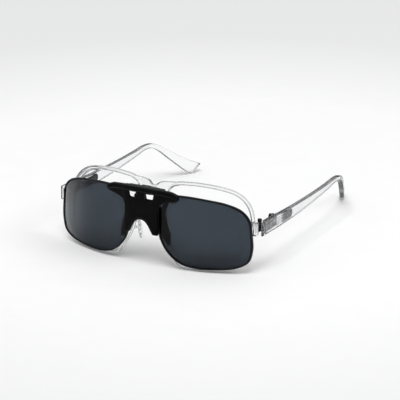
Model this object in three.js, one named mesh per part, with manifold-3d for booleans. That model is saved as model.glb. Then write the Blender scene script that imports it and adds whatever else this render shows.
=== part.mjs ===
// Clear spectacles with a black flip-up sunglass clip, in millimetres, +Z up.
// The wearer looks along -Y, +X is the wearer's left. The glasses stand open on a table, on the
// bottoms of the two rims and on the two ear tips.
import * as THREE from 'three';
import { mergeVertices } from 'three/addons/utils/BufferGeometryUtils.js';
import Module from 'manifold-3d';

const wasm = await Module();
wasm.setup();

// Clear front: rim outline on a curved, tilted surface
const FRONT_CURVE = 150;
const FRONT_TILT = 14;
const FRONT_SETBACK = 6.7;
const FRONT_CENTRE_HEIGHT = 27.8;
const RIM_OUTLINE = [
  [8.6, 20.4], [14, 24.3], [23.5, 25.7], [33, 25.9], [43, 25.3], [51, 23.7], [57, 20.4], [61.4, 15],
  [63.9, 7.5], [64.4, -2], [62.6, -12], [57.6, -20], [49, -24.4], [37, -26.5], [28, -27],
  [21, -25.2], [15.8, -18.2], [11.7, -10.5], [9.2, -1], [7.8, 10],
];
const RIM_STATIONS = 52;
const RIM_WIDTH = 2.4;
const RIM_DEPTH = 3.4;
const RIM_EDGE_ROUND = 0.6;
const GROOVE_REACH = 0.7;
const GROOVE_HALF = 0.8;
const LENS_FIT = 0.35;
const SADDLE = [
  // [distance from the middle, top, bottom]: a notch in the middle, a shoulder up to each rim
  [0, 20.6, 18.9], [1.6, 20.9, 18.8], [3, 22.2, 18.6], [4.4, 23.1, 18], [6.6, 23.7, 16.6],
  [8.8, 24, 15.2], [10.2, 24.1, 19.9], [12.4, 24.3, 21.8], [14.2, 24.4, 22.8],
];
const REST_FLAT = 0.25;

// Clear end pieces, hinges and temples
const LUG_BITE = 1.2;
const LUG_INNER = Math.max(...RIM_OUTLINE.map(([u]) => u)) - LUG_BITE;
const LUG_WIDTH = 3.7;
const LUG_OUTER = LUG_INNER + LUG_WIDTH;
const LUG_HEIGHT = 8.5;
const LUG_FRONT = 17.6;
const LUG_DEPTH = 4;
const HINGE_HEIGHT = 28.2;
const HINGE_INSET = 1;
const HINGE_X = LUG_OUTER - HINGE_INSET;
const HINGE_BEHIND_LUG = 2.8;
const KNUCKLE_RADIUS = 1.2;
const KNUCKLE_HEIGHT = 1.6;
const KNUCKLE_GAP = 0.3;
const SCREW_RADIUS = 0.5;
const SCREW_CLEARANCE = 0.2;
const SCREW_HEAD_RADIUS = 1.3;
const SCREW_HEAD_HEIGHT = 1.9;
const LEAF_THICKNESS = 1.1;
const SEAT_GAP = 0.3;
const TEMPLE_GAP = 0.4;
const TEMPLE_THICKNESS = 3.2;
const TEMPLE_PATH = [
  // [distance behind the hinge, inward turn, height of the middle, blade height]
  [-4.4, 0, HINGE_HEIGHT, 8.5], [5, 0, HINGE_HEIGHT - 0.2, 8.5], [14, 0, HINGE_HEIGHT - 0.7, 8.3],
  [28, 0, HINGE_HEIGHT - 1.3, 7.5], [46, 0, HINGE_HEIGHT - 1.6, 6.6],
  [66, 0, 26.8, 5.2], [85, 0, 27.5, 4], [98, 0.2, 28.3, 3.1], [106, 1, 27.2, 3],
  [113, 2.7, 23.6, 3.7], [121, 5.5, 17.4, 5], [130, 9, 10.5, 6.7], [136.5, 11.8, 5.8, 8],
  [142, 14.2, 2.9, 8.4],
];
const TEMPLE_STEPS = 30;
const TEMPLE_CORNER = 1.4;
const TEMPLE_LIP = 1.3;
const LIP_ROOM = 0.9;
const TIP_SLANT = 1.9;
const LEAF_LENGTH = 13;
const LEAF_HEIGHT = 5.2;
const FLUTE_COUNT = 4;
const FLUTE_PITCH = 1.7;
const FLUTE_DEPTH = 0.6;
const FLUTE_HEIGHT = 4.6;
const CORE_PLATE_LENGTH = 12.5;
const CORE_PLATE_HEIGHT = 5;
const CORE_PLATE_DROP = 1.25;
const PLATE_SCREW_RADIUS = 1.6;
const PLATE_SCREW_HEAD = 1.3;
const PLATE_SCREW_RISE = 0.2;
const PLATE_LOBE = 1.9;

// Nose pads
const PAD_HEIGHT = 13.5;
const PAD_DEPTH = 7.2;
const PAD_THICKNESS = 2.6;
const PAD_CENTRE = [8.2, 10.6, 19.2];
const PAD_SPLAY = 22;
const PAD_FLARE = 6;
const PAD_ARM_RADIUS = 0.9;
const PAD_ARM_REACH = 3.6;

// Sunglass lenses and their thin black rims, on an upright curved surface
const CLIP_CURVE = 150;
const CLIP_SETBACK = 0;
const CLIP_RISE = 19.5;
const SUN_TOP = FRONT_CENTRE_HEIGHT + CLIP_RISE;
const SUN_OUTLINE = [
  // [distance from the middle, distance below the top of the sun lens]
  [11.5, 4.7], [18, 0.6], [27, 0], [40, 1.1], [51, 3], [59.3, 6.7], [63.9, 12.7], [65.3, 22.3],
  [65.7, 31.8], [63.4, 39.6], [57, 43.3], [46, 44.9], [34, 45.2], [24, 43.1], [17.5, 38.7],
  [12.7, 32.3], [9.9, 23.3], [9.7, 12.3],
];
const SUN_STATIONS = 48;
const SUN_RIM_WIDTH = 0.95;
const SUN_RIM_DEPTH = 1.9;
const SUN_RIM_ROUND = 0.3;
const SUN_GROOVE_REACH = 0.4;
const SUN_GROOVE_HALF = 0.55;
const SUN_FIT = 0.25;

// Black clip bridge: ridged top bar, wings, windows, nose arch
const BRIDGE_FRONT = -3.0;
const WING_FRONT = -2.4;
const BRIDGE_BACK = -0.75;
const BAR_HALF_LENGTH = 24;
const BAR_RISE = 3.5;
const BAR_TOP = SUN_TOP + BAR_RISE;
const BAR_TOP_DROP = 1.5;
const BAR_END_RUN = 4.6;
const BAR_END_DROP = 1.3;
const BAR_HEIGHT = 3.3;
const BAR_STEP = 0.65;
const WING_STEP = 0.4;
const BAR_RIDGES = 3;
const BAR_RIDGE_DEPTH = 0.35;
const WING_LOWER = [
  // [distance from the middle, distance below the bar's top], from the wing's end to the body
  [24, 6.2], [23.2, 6.7], [19.6, 7.3], [15.4, 8.5], [12.6, 9.8], [11.2, 12.4],
];
const LEG_HALF_WIDTH = 10.9;
const LEG_INNER = 8.2;
const LEG_DROP = 26.1;
const LEG_BOTTOM = SUN_TOP - LEG_DROP;
const ARCH_RISE = 8.8;
const ARCH_POWER = 2.4;
const ARCH_BEAD = 0.8;
const WINDOW_INNER = 2.5;
const WINDOW_OUTER = 8.9;
const WINDOW_BELOW_BAR = 3.8;
const WINDOW_HEIGHT = 4;
const WINDOW_HIGH = BAR_TOP - WINDOW_BELOW_BAR;
const WINDOW_LOW = WINDOW_HIGH - WINDOW_HEIGHT;
const WINDOW_TAPER = 0.8;
const RIVET_DROP = [[17.8, 3.3], [21.2, 2.6]];
const RIVET_PLACES = RIVET_DROP.map(([x, below]) => [x, SUN_TOP - below]);
const RIVET_RADIUS = 0.6;
const RIVET_HEAD_RADIUS = 1;
const RIVET_HEAD_HEIGHT = 0.8;

// Flip hinge and spring clamp behind the bridge
const FLIP_Y = 1.45;
const FLIP_BELOW_BAR = 2.6;
const FLIP_Z = BAR_TOP - FLIP_BELOW_BAR;
const FLIP_PIN_RADIUS = 0.7;
const FLIP_BARREL_RADIUS = 1.6;
const FLIP_BARREL_HALF = 8.9;
const FLIP_EAR_WIDTH = 2.8;
const PIN_CLEARANCE = 0.2;
const BASE_FRONT = 3.35;
const BASE_BACK = 6.3;
const BASE_LOW = FLIP_Z - 3;
const BASE_HIGH = FLIP_Z + 0.2;
const BASE_HALF_LENGTH = 12;
const SHOULDER_HALF_LENGTH = 15.3;
const SHOULDER_HEIGHT = 1.2;
const SHOULDER_DEPTH = 1.7;
const FRONT_PRONG = [
  // [distance below the flip pin, middle, distance behind the sun lens origin, width]
  [2.1, 13.7, 4.3, 3.2], [8.4, 13.7, 4, 3.2], [11.4, 12, 3.7, 3.6], [15, 11.2, 3.5, 4.4],
  [20, 11.7, 3.5, 6.2], [24.2, 12.5, 3.5, 6.8], [28.4, 13.9, 3.5, 5.6], [31.6, 15.1, 3.5, 3.6],
  [33.4, 16, 3.5, 1.6],
];
const FRONT_PRONG_THICKNESS = 1.2;
const PRONG_PAD_RADIUS = 1.4;
const PRONG_PAD_PLACE = [15, FLIP_Z - 27.4];
const JAW_Y = 7.9;
const JAW_BELOW_FLIP = 4.2;
const JAW_Z = FLIP_Z - JAW_BELOW_FLIP;
const JAW_BARREL_RADIUS = 1.5;
const JAW_PIN_RADIUS = 0.6;
const JAW_BARREL_LEFT = 1.0;
const JAW_BARREL_RIGHT = -4.8;
const JAW_EAR_INNER = 5.2;
const JAW_EAR_OUTER = 7.4;
const JAW_ARM_HALF = 3.6;
const JAW_ARM_LOW = JAW_Z - 2.4;
const JAW_ARM_HIGH = JAW_Z - 0.7;
const JAW_ARM_REACH = 17.4;
const JAW_TAIL_HIGH = JAW_Z + 4;
const JAW_TAIL_THICKNESS = 1.4;
const REAR_PRONG = [
  // [distance from the middle, distance behind the jaw pin, distance below the jaw pin]
  [2.4, 8.5, 1.3], [8.2, 8.7, 2.2], [11.7, 7.4, 4.8], [12.9, 6.5, 7.2],
];
const REAR_PRONG_RADIUS = 0.8;
const SLEEVE_RADIUS = 1.6;
const SLEEVE_FIT = 0.3;
const SLEEVE_LENGTH = 4;
const SPRING_TURNS = 3.5;
const SPRING_WIRE = 0.2;
const SPRING_PITCH = 0.88;
const SPRING_LEG = 3.6;

// Finishes
const clearPlastic = new THREE.MeshStandardMaterial({ color: 0xf2f4f5, roughness: 0.08 });
const clearLens = new THREE.MeshStandardMaterial({ color: 0xfafcfc, roughness: 0.03 });
const padSilicone = new THREE.MeshStandardMaterial({ color: 0xeef0ef, roughness: 0.35 });
const greyMetal = new THREE.MeshStandardMaterial({ color: 0x707074, roughness: 0.4, metalness: 0.8 });
const blackScrew = new THREE.MeshStandardMaterial({ color: 0x141416, roughness: 0.45, metalness: 0.4 });
const blackPlastic = new THREE.MeshStandardMaterial({ color: 0x111113, roughness: 0.38 });
const smokeLens = new THREE.MeshStandardMaterial({ color: 0x3c444c, roughness: 0.05 });
const blackWire = new THREE.MeshStandardMaterial({ color: 0x0d0d0e, roughness: 0.3, metalness: 0.3 });
const springSteel = new THREE.MeshStandardMaterial({ color: 0xa8a9ab, roughness: 0.3, metalness: 1 });
const softVinyl = new THREE.MeshStandardMaterial({ color: 0x1c1c1e, roughness: 0.8 });

const glasses = new THREE.Group();
const FULL_TURN = Math.PI * 2;
const toRadians = THREE.MathUtils.degToRad;

function addPiece(name, geometry, material) {
  const mesh = new THREE.Mesh(geometry, material);
  mesh.name = name;
  glasses.add(mesh);
}

// Solids and joins
function toSolid(geometry) {
  const bare = new THREE.BufferGeometry();
  bare.setAttribute('position', geometry.getAttribute('position').clone());
  bare.setIndex(geometry.index ? geometry.index.clone() : null);
  const merged = mergeVertices(bare, 1e-4);
  return new wasm.Manifold(new wasm.Mesh({
    numProp: 3,
    vertProperties: new Float32Array(merged.getAttribute('position').array),
    triVerts: new Uint32Array(merged.index.array),
  }));
}

function toGeometry(solid) {
  const mesh = solid.getMesh();
  const geometry = new THREE.BufferGeometry();
  geometry.setAttribute('position', new THREE.BufferAttribute(mesh.vertProperties, mesh.numProp));
  geometry.setIndex(new THREE.BufferAttribute(mesh.triVerts, 1));
  return geometry;
}

function join(...geometries) {
  return toGeometry(geometries.map(toSolid).reduce((sum, solid) => sum.add(solid)));
}

function cut(geometry, ...tools) {
  return toGeometry(tools.map(toSolid).reduce((rest, tool) => rest.subtract(tool), toSolid(geometry)));
}

// A copy of a piece for the wearer's other side
function mirrored(geometry) {
  const copy = geometry.clone().scale(-1, 1, 1);
  const index = copy.index.array;
  for (let i = 0; i < index.length; i += 3) {
    const first = index[i];
    index[i] = index[i + 1];
    index[i + 1] = first;
  }
  return copy;
}

// Faces pointing outwards, whatever way round the rings ran
function faceOut(positions, faces) {
  let volume = 0;
  const corner = (i) => new THREE.Vector3().fromArray(positions, faces[i] * 3);
  for (let i = 0; i < faces.length; i += 3) {
    volume += corner(i).dot(corner(i + 1).cross(corner(i + 2)));
  }
  if (volume < 0) {
    faces.reverse();
  }
  const geometry = new THREE.BufferGeometry();
  geometry.setAttribute('position', new THREE.Float32BufferAttribute(positions, 3));
  geometry.setIndex(faces);
  return geometry;
}

// A skin over a row of rings: a closed loop of rings, or a bar whose two ends are filled
function loft(rings, { closed = false, ends = null } = {}) {
  const count = rings[0].length;
  const positions = rings.flat().flatMap((point) => point.toArray());
  const faces = [];
  const strips = closed ? rings.length : rings.length - 1;
  for (let i = 0; i < strips; i += 1) {
    const here = i * count;
    const next = ((i + 1) % rings.length) * count;
    for (let j = 0; j < count; j += 1) {
      const k = (j + 1) % count;
      faces.push(here + j, here + k, next + k, here + j, next + k, next + j);
    }
  }
  if (!closed) {
    const middle = (ring) => ring.reduce((sum, p) => sum.add(p), new THREE.Vector3()).divideScalar(count);
    const caps = ends ?? [middle(rings[0]), middle(rings.at(-1))];
    const firstCap = positions.length / 3;
    caps.forEach((cap) => positions.push(...cap.toArray()));
    const lastRing = (rings.length - 1) * count;
    for (let j = 0; j < count; j += 1) {
      const k = (j + 1) % count;
      faces.push(firstCap, k, j);
      faces.push(firstCap + 1, lastRing + j, lastRing + k);
    }
  }
  return faceOut(positions, faces);
}

function box(x0, x1, y0, y1, z0, z1) {
  const shape = new THREE.BoxGeometry(x1 - x0, y1 - y0, z1 - z0);
  return shape.translate((x0 + x1) / 2, (y0 + y1) / 2, (z0 + z1) / 2);
}

// Round bars along the three axes
function barZ(radius, x, y, z0, z1, sides = 16) {
  const bar = new THREE.CylinderGeometry(radius, radius, z1 - z0, sides);
  return bar.rotateX(Math.PI / 2).translate(x, y, (z0 + z1) / 2);
}

function barX(radius, y, z, x0, x1, sides = 16) {
  const bar = new THREE.CylinderGeometry(radius, radius, x1 - x0, sides);
  return bar.rotateZ(Math.PI / 2).translate((x0 + x1) / 2, y, z);
}

function barY(radius, x, z, y0, y1, sides = 12) {
  const bar = new THREE.CylinderGeometry(radius, radius, y1 - y0, sides);
  return bar.translate(x, (y0 + y1) / 2, z);
}

// A round wire along a smooth path
function wire(points, radius, steps, sides) {
  const path = new THREE.CatmullRomCurve3(points.map((p) => new THREE.Vector3(...p)));
  const section = new THREE.Shape();
  for (let i = 0; i < sides; i += 1) {
    const angle = (i / sides) * FULL_TURN;
    section[i ? 'lineTo' : 'moveTo'](radius * Math.cos(angle), radius * Math.sin(angle));
  }
  return new THREE.ExtrudeGeometry(section, { steps, extrudePath: path });
}

// An even run of points round a closed outline, each with its outward direction
function outlineOf(points, stations) {
  const curve = new THREE.CatmullRomCurve3(points.map(([u, v]) => new THREE.Vector3(u, v, 0)), true);
  const spots = curve.getSpacedPoints(stations).slice(0, stations);
  return spots.map((spot, i) => {
    const along = spots[(i + 1) % stations].clone().sub(spots[(i + stations - 1) % stations]).normalize();
    return { spot, outward: new THREE.Vector3(-along.y, along.x, 0) };
  });
}

// The curved front of the clear frame, and the upright curve of the sunglass clip
function onFront(u, v, depth) {
  const rest = Math.sqrt(FRONT_CURVE ** 2 - u ** 2 - v ** 2);
  const share = depth / FRONT_CURVE;
  const y = FRONT_CURVE - rest + share * rest;
  const raised = v * (1 - share);
  const tilt = toRadians(FRONT_TILT);
  return new THREE.Vector3(
    u * (1 - share),
    FRONT_SETBACK + y * Math.cos(tilt) + raised * Math.sin(tilt),
    FRONT_CENTRE_HEIGHT + raised * Math.cos(tilt) - y * Math.sin(tilt),
  );
}

function clipSag(u) {
  return CLIP_SETBACK + CLIP_CURVE - Math.sqrt(CLIP_CURVE ** 2 - u ** 2);
}

function onClip(u, z, depth) {
  return new THREE.Vector3(u, clipSag(u) + depth, z);
}

// A rim: a rounded bar with a vee groove inside, carried round the outline
function rim(outline, place, { width, depth, round, reach, half }) {
  const middle = depth / 2;
  const section = [
    [-round, 0], [0, round], [0, depth - round], [-round, depth], [-width, depth],
    [-width, middle + half], [-width + reach, middle], [-width, middle - half], [-width, 0],
  ];
  const rings = outline.map(({ spot, outward }) => section.map(([r, d]) => {
    const point = spot.clone().addScaledVector(outward, r);
    return place(point.x, point.y, d);
  }));
  return loft(rings, { closed: true });
}

// A lens whose bevelled edge sits in the groove of its rim
function lens(outline, place, { width, depth, reach, half }, fit) {
  const middle = depth / 2;
  const face = half - fit * 0.6;
  const centre = outline.reduce((sum, { spot }) => sum.add(spot), new THREE.Vector3())
    .divideScalar(outline.length);
  const ring = (share, inset, d) => outline.map(({ spot, outward }) => {
    const point = spot.clone().addScaledVector(outward, -inset).lerp(centre, 1 - share);
    return place(point.x, point.y, d);
  });
  const edge = width + fit;
  const ridge = width - reach + fit;
  const rings = [
    ring(0.3, edge, middle - face), ring(0.65, edge, middle - face), ring(1, edge, middle - face),
    ring(1, ridge, middle),
    ring(1, edge, middle + face), ring(0.65, edge, middle + face), ring(0.3, edge, middle + face),
  ];
  const ends = [place(centre.x, centre.y, middle - face), place(centre.x, centre.y, middle + face)];
  return loft(rings, { ends });
}

// Clear frame front
const frontRim = {
  width: RIM_WIDTH, depth: RIM_DEPTH, round: RIM_EDGE_ROUND, reach: GROOVE_REACH, half: GROOVE_HALF,
};
const rimOutline = outlineOf(RIM_OUTLINE, RIM_STATIONS);
const rimLeft = rim(rimOutline, onFront, frontRim);
const lugFront = LUG_FRONT;
const lugBack = LUG_FRONT + LUG_DEPTH;
const hingeY = lugBack + HINGE_BEHIND_LUG;
const templeInner = LUG_OUTER + TEMPLE_GAP;
const lugBottom = HINGE_HEIGHT - LUG_HEIGHT / 2;

function saddleBridge() {
  const round = RIM_EDGE_ROUND;
  const back = RIM_DEPTH;
  const rightHalf = SADDLE.slice(1).reverse().map(([u, top, bottom]) => [-u, top, bottom]);
  const rings = [...rightHalf, ...SADDLE].map(([u, top, bottom]) => [
    [bottom, round], [bottom + round, 0], [top - round, 0], [top, round],
    [top, back - round], [top - round, back], [bottom + round, back], [bottom, back - round],
  ].map(([v, d]) => onFront(u, v, d)));
  return loft(rings);
}

function lug() {
  const plan = new THREE.Shape();
  plan.moveTo(LUG_INNER, lugFront);
  plan.lineTo(LUG_OUTER - 1, lugFront);
  plan.quadraticCurveTo(LUG_OUTER, lugFront, LUG_OUTER, lugFront + 1);
  plan.lineTo(LUG_OUTER, lugBack);
  plan.lineTo(LUG_INNER + 1, lugBack);
  plan.lineTo(LUG_INNER, lugBack + 0.8);
  const block = new THREE.ExtrudeGeometry(plan, {
    depth: LUG_HEIGHT, bevelEnabled: false, curveSegments: 4,
  });
  return block.translate(0, 0, lugBottom);
}

function padArm() {
  const [x, y, z] = PAD_CENTRE;
  const raised = (z - FRONT_CENTRE_HEIGHT) / Math.cos(toRadians(FRONT_TILT));
  const root = onFront(x + PAD_ARM_REACH, raised, RIM_DEPTH / 2);
  const end = [x + PAD_THICKNESS / 2 + SEAT_GAP + PAD_ARM_RADIUS, y + 0.4, z];
  const bend = [(root.x + end[0]) / 2 + 0.6, (root.y + end[1]) / 2 + 0.6, z];
  return wire([root.toArray(), bend, end], PAD_ARM_RADIUS, 6, 8);
}

const halfFront = join(rimLeft, lug(), padArm());
const wholeFront = join(halfFront, mirrored(halfFront), saddleBridge());

// The rims and the ear tips are polished flat where they stand on a table
const frontReach = new THREE.Box3().setFromBufferAttribute(wholeFront.getAttribute('position'));
const restHeight = frontReach.min.z + REST_FLAT;
const tableTop = box(-90, 90, -20, 200, restHeight - 20, restHeight);
addPiece('front_frame', cut(wholeFront, tableTop), clearPlastic);

// Clear lenses in the frame
const clearLensLeft = lens(rimOutline, onFront, frontRim, LENS_FIT);
addPiece('clear_lens_left', clearLensLeft, clearLens);
addPiece('clear_lens_right', mirrored(clearLensLeft), clearLens);

// Nose pads, flat ovals that splay towards the wearer
function nosePad() {
  const pad = new THREE.SphereGeometry(0.5, 16, 10);
  pad.scale(PAD_THICKNESS, PAD_DEPTH, PAD_HEIGHT);
  pad.rotateY(toRadians(PAD_FLARE));
  pad.rotateZ(toRadians(-PAD_SPLAY));
  return toGeometry(toSolid(pad.translate(...PAD_CENTRE)));
}

const padLeft = nosePad();
addPiece('nose_pad_left', padLeft, padSilicone);
addPiece('nose_pad_right', mirrored(padLeft), padSilicone);

// Hinges: a front leaf with two knuckles, a temple leaf with one, and a black screw through them
const middleKnuckle = [HINGE_HEIGHT - KNUCKLE_HEIGHT / 2, HINGE_HEIGHT + KNUCKLE_HEIGHT / 2];
const lowKnuckle = [middleKnuckle[0] - KNUCKLE_GAP - KNUCKLE_HEIGHT, middleKnuckle[0] - KNUCKLE_GAP];
const highKnuckle = [middleKnuckle[1] + KNUCKLE_GAP, middleKnuckle[1] + KNUCKLE_GAP + KNUCKLE_HEIGHT];
const lugTop = lugBottom + LUG_HEIGHT;
const screwBore = barZ(SCREW_RADIUS + SCREW_CLEARANCE, HINGE_X, hingeY, lugBottom - 1, lugTop + 1);

function frontLeaf() {
  const back = hingeY - KNUCKLE_RADIUS - SEAT_GAP;
  const front = lugBack + SEAT_GAP;
  const plate = box(HINGE_X - 1.1, LUG_OUTER - 0.2, front, back, lowKnuckle[0], highKnuckle[1]);
  const knuckles = [lowKnuckle, highKnuckle].flatMap(([low, high]) => [
    barZ(KNUCKLE_RADIUS, HINGE_X, hingeY, low, high),
    box(HINGE_X - 1, HINGE_X + 0.6, back - 0.3, hingeY, low, high),
  ]);
  return cut(join(plate, ...knuckles), screwBore);
}

const leafInner = templeInner + 0.25;
const leafStart = hingeY + KNUCKLE_RADIUS + 0.4;
const leafEnd = leafStart + LEAF_LENGTH;

function templeLeaf() {
  const low = HINGE_HEIGHT - LEAF_HEIGHT / 2;
  const plate = box(leafInner, leafInner + LEAF_THICKNESS, leafStart, leafEnd, low, low + LEAF_HEIGHT);
  const knuckle = barZ(KNUCKLE_RADIUS, HINGE_X, hingeY, ...middleKnuckle);
  const tongue = box(HINGE_X, leafInner + LEAF_THICKNESS, hingeY, leafStart + 1, ...middleKnuckle);
  const lobe = barX(PLATE_LOBE, plateScrewY, plateScrewZ, leafInner, leafInner + LEAF_THICKNESS, 24);
  const holeRadius = SCREW_RADIUS + SCREW_CLEARANCE;
  const hole = barX(holeRadius, plateScrewY, plateScrewZ, templeInner - 1, templeInner + 3);
  return cut(join(plate, knuckle, tongue, lobe), screwBore, hole);
}

function hingeScrew() {
  const neck = highKnuckle[1] + SEAT_GAP;
  const shank = barZ(SCREW_RADIUS, HINGE_X, hingeY, lowKnuckle[0], neck + 0.2);
  const head = barZ(SCREW_HEAD_RADIUS, HINGE_X, hingeY, neck, neck + SCREW_HEAD_HEIGHT);
  return join(shank, head);
}

const plateScrewY = leafEnd - PLATE_LOBE;
const plateScrewZ = HINGE_HEIGHT + LEAF_HEIGHT / 2 + PLATE_SCREW_RISE;

function plateScrew() {
  const seat = leafInner - SEAT_GAP;
  const head = barX(PLATE_SCREW_RADIUS, plateScrewY, plateScrewZ, seat - PLATE_SCREW_HEAD, seat);
  const shank = barX(SCREW_RADIUS, plateScrewY, plateScrewZ, leafInner - 0.6, leafInner + LEAF_THICKNESS);
  return join(head, shank);
}

// Temples: a flat blade that narrows to the ear, turns down and in, and ends in a round paddle
const fluteStart = leafEnd + 1.2;
const coreStart = fluteStart + FLUTE_COUNT * FLUTE_PITCH + 0.6;
const coreHeightAt = HINGE_HEIGHT - CORE_PLATE_DROP;

function templeBlade() {
  const along = new THREE.CatmullRomCurve3(TEMPLE_PATH.map(([back, inward, height]) => (
    new THREE.Vector3(templeInner + TEMPLE_THICKNESS / 2 - inward, hingeY + back, height))));
  const tall = new THREE.CatmullRomCurve3(TEMPLE_PATH.map((row, i) => new THREE.Vector3(i, row[3], 0)));
  const rings = [];
  for (let i = 0; i <= TEMPLE_STEPS; i += 1) {
    const share = i / TEMPLE_STEPS;
    const middle = along.getPoint(share);
    const forward = along.getTangent(share);
    const across = new THREE.Vector3().crossVectors(forward, new THREE.Vector3(0, 0, 1)).normalize();
    const up = new THREE.Vector3().crossVectors(across, forward);
    const half = tall.getPoint(share).y / 2;
    const wide = TEMPLE_THICKNESS / 2;
    const soft = 0.7;
    const short = Math.max(TEMPLE_CORNER - (middle.y - along.getPoint(0).y), 0);
    const out = wide - TEMPLE_CORNER + Math.sqrt(TEMPLE_CORNER ** 2 - short ** 2);
    const edge = Math.max(out - soft, -wide + soft);
    rings.push([
      [out, -half + soft], [out, half - soft], [edge, half], [-wide + soft, half],
      [-wide, half - soft], [-wide, -half + soft], [-wide + soft, -half], [edge, -half],
    ].map(([a, b]) => middle.clone().addScaledVector(across, a).addScaledVector(up, b)
      .addScaledVector(forward, i === TEMPLE_STEPS ? TIP_SLANT * (b / half) : 0)));
  }
  return loft(rings);
}

function temple() {
  const leafLow = HINGE_HEIGHT - LEAF_HEIGHT / 2 - SEAT_GAP;
  const leafHigh = HINGE_HEIGHT + LEAF_HEIGHT / 2 + SEAT_GAP;
  const pocketFloor = leafInner + LEAF_THICKNESS + SEAT_GAP;
  const leafPocket = box(templeInner - 1, pocketFloor, hingeY - 1, leafEnd + SEAT_GAP, leafLow, leafHigh);
  const coreLow = coreHeightAt - CORE_PLATE_HEIGHT / 2 - SEAT_GAP;
  const coreHigh = coreHeightAt + CORE_PLATE_HEIGHT / 2 + SEAT_GAP;
  const coreEnd = coreStart + CORE_PLATE_LENGTH;
  const coreRadius = CORE_PLATE_HEIGHT / 2 + SEAT_GAP;
  const coreTurn = coreEnd - CORE_PLATE_HEIGHT / 2;
  const corePocket = join(
    box(templeInner - 1, pocketFloor, coreStart - SEAT_GAP, coreTurn, coreLow, coreHigh),
    barX(coreRadius, coreTurn, coreHeightAt, templeInner - 1, pocketFloor),
  );
  const lipInner = templeInner + TEMPLE_THICKNESS - TEMPLE_LIP;
  const roomFront = hingeY + TEMPLE_PATH[0][0] - 1;
  const barrelRoom = box(HINGE_X, lipInner, roomFront, hingeY + LIP_ROOM, lugBottom - 2, lugTop + 2);
  const lobeRoom = barX(PLATE_LOBE + SEAT_GAP, plateScrewY, plateScrewZ, templeInner - 1, pocketFloor, 24);
  const flutes = [];
  for (let i = 0; i < FLUTE_COUNT; i += 1) {
    const y = fluteStart + (i + 0.5) * FLUTE_PITCH;
    const low = coreHeightAt - FLUTE_HEIGHT / 2;
    const flute = new THREE.CylinderGeometry(FLUTE_DEPTH, FLUTE_DEPTH, FLUTE_HEIGHT, 6);
    flutes.push(flute.rotateX(Math.PI / 2).translate(templeInner, y, low + FLUTE_HEIGHT / 2));
  }
  return cut(templeBlade(), leafPocket, corePocket, barrelRoom, lobeRoom, ...flutes, tableTop);
}

function corePlate() {
  const plan = new THREE.Shape();
  const half = CORE_PLATE_HEIGHT / 2;
  plan.moveTo(0, -half);
  plan.lineTo(CORE_PLATE_LENGTH - half, -half);
  plan.absarc(CORE_PLATE_LENGTH - half, 0, half, -Math.PI / 2, Math.PI / 2, false);
  plan.lineTo(0, half);
  const plate = new THREE.ExtrudeGeometry(plan, {
    depth: LEAF_THICKNESS, bevelEnabled: false, curveSegments: 8,
  });
  plate.rotateX(Math.PI / 2).rotateZ(Math.PI / 2);
  return toGeometry(toSolid(plate.translate(leafInner, coreStart, coreHeightAt)));
}

const sidePieces = [
  ['hinge_front_leaf', frontLeaf(), blackScrew],
  ['hinge_temple_leaf', templeLeaf(), greyMetal],
  ['hinge_screw', hingeScrew(), blackScrew],
  ['hinge_plate_screw', plateScrew(), blackScrew],
  ['temple', temple(), clearPlastic],
  ['temple_core_plate', corePlate(), greyMetal],
];
sidePieces.forEach(([name, geometry, material]) => {
  addPiece(`${name}_left`, geometry, material);
  addPiece(`${name}_right`, mirrored(geometry), material);
});

// Sunglass rims and lenses
const sunRim = {
  width: SUN_RIM_WIDTH, depth: SUN_RIM_DEPTH, round: SUN_RIM_ROUND, reach: SUN_GROOVE_REACH,
  half: SUN_GROOVE_HALF,
};
const sunOutline = outlineOf(SUN_OUTLINE.map(([x, below]) => [x, SUN_TOP - below]), SUN_STATIONS);
const sunRimLeft = rim(sunOutline, onClip, sunRim);
const rivetHoles = RIVET_PLACES.map(([x, z]) => (
  barY(RIVET_RADIUS + SCREW_CLEARANCE, x, z, clipSag(x) - SUN_RIM_DEPTH, clipSag(x) + 2 * SUN_RIM_DEPTH)));
const sunLensLeft = cut(lens(sunOutline, onClip, sunRim, SUN_FIT), ...rivetHoles);
addPiece('sun_rim_left', sunRimLeft, blackWire);
addPiece('sun_rim_right', mirrored(sunRimLeft), blackWire);
addPiece('sun_lens_left', sunLensLeft, smokeLens);
addPiece('sun_lens_right', mirrored(sunLensLeft), smokeLens);

function lensRivet([x, z]) {
  const back = clipSag(x) + SUN_RIM_DEPTH / 2 + SUN_GROOVE_HALF + SEAT_GAP;
  const shank = barY(RIVET_RADIUS, x, z, clipSag(x) + BRIDGE_BACK - 0.6, back + 0.2);
  const head = barY(RIVET_HEAD_RADIUS, x, z, back, back + RIVET_HEAD_HEIGHT);
  return join(shank, head);
}

RIVET_PLACES.forEach((place, i) => {
  const rivet = lensRivet(place);
  addPiece(`lens_rivet_left_${i + 1}`, rivet, blackScrew);
  addPiece(`lens_rivet_right_${i + 1}`, mirrored(rivet), blackScrew);
});

// Clip bridge: one moulding whose section is carried from wing to wing
function bridgeLower(x) {
  if (x <= LEG_INNER) {
    return LEG_BOTTOM + ARCH_RISE * (1 - (x / LEG_INNER) ** ARCH_POWER);
  }
  if (x <= LEG_HALF_WIDTH) {
    return LEG_BOTTOM;
  }
  const row = WING_LOWER.findIndex(([reach]) => reach <= x);
  const [x1, below1] = WING_LOWER.at(row);
  const [x0, below0] = WING_LOWER[Math.max(row - 1, 0)];
  return BAR_TOP - (x0 === x1 ? below1 : THREE.MathUtils.mapLinear(x, x1, x0, below1, below0));
}

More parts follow.
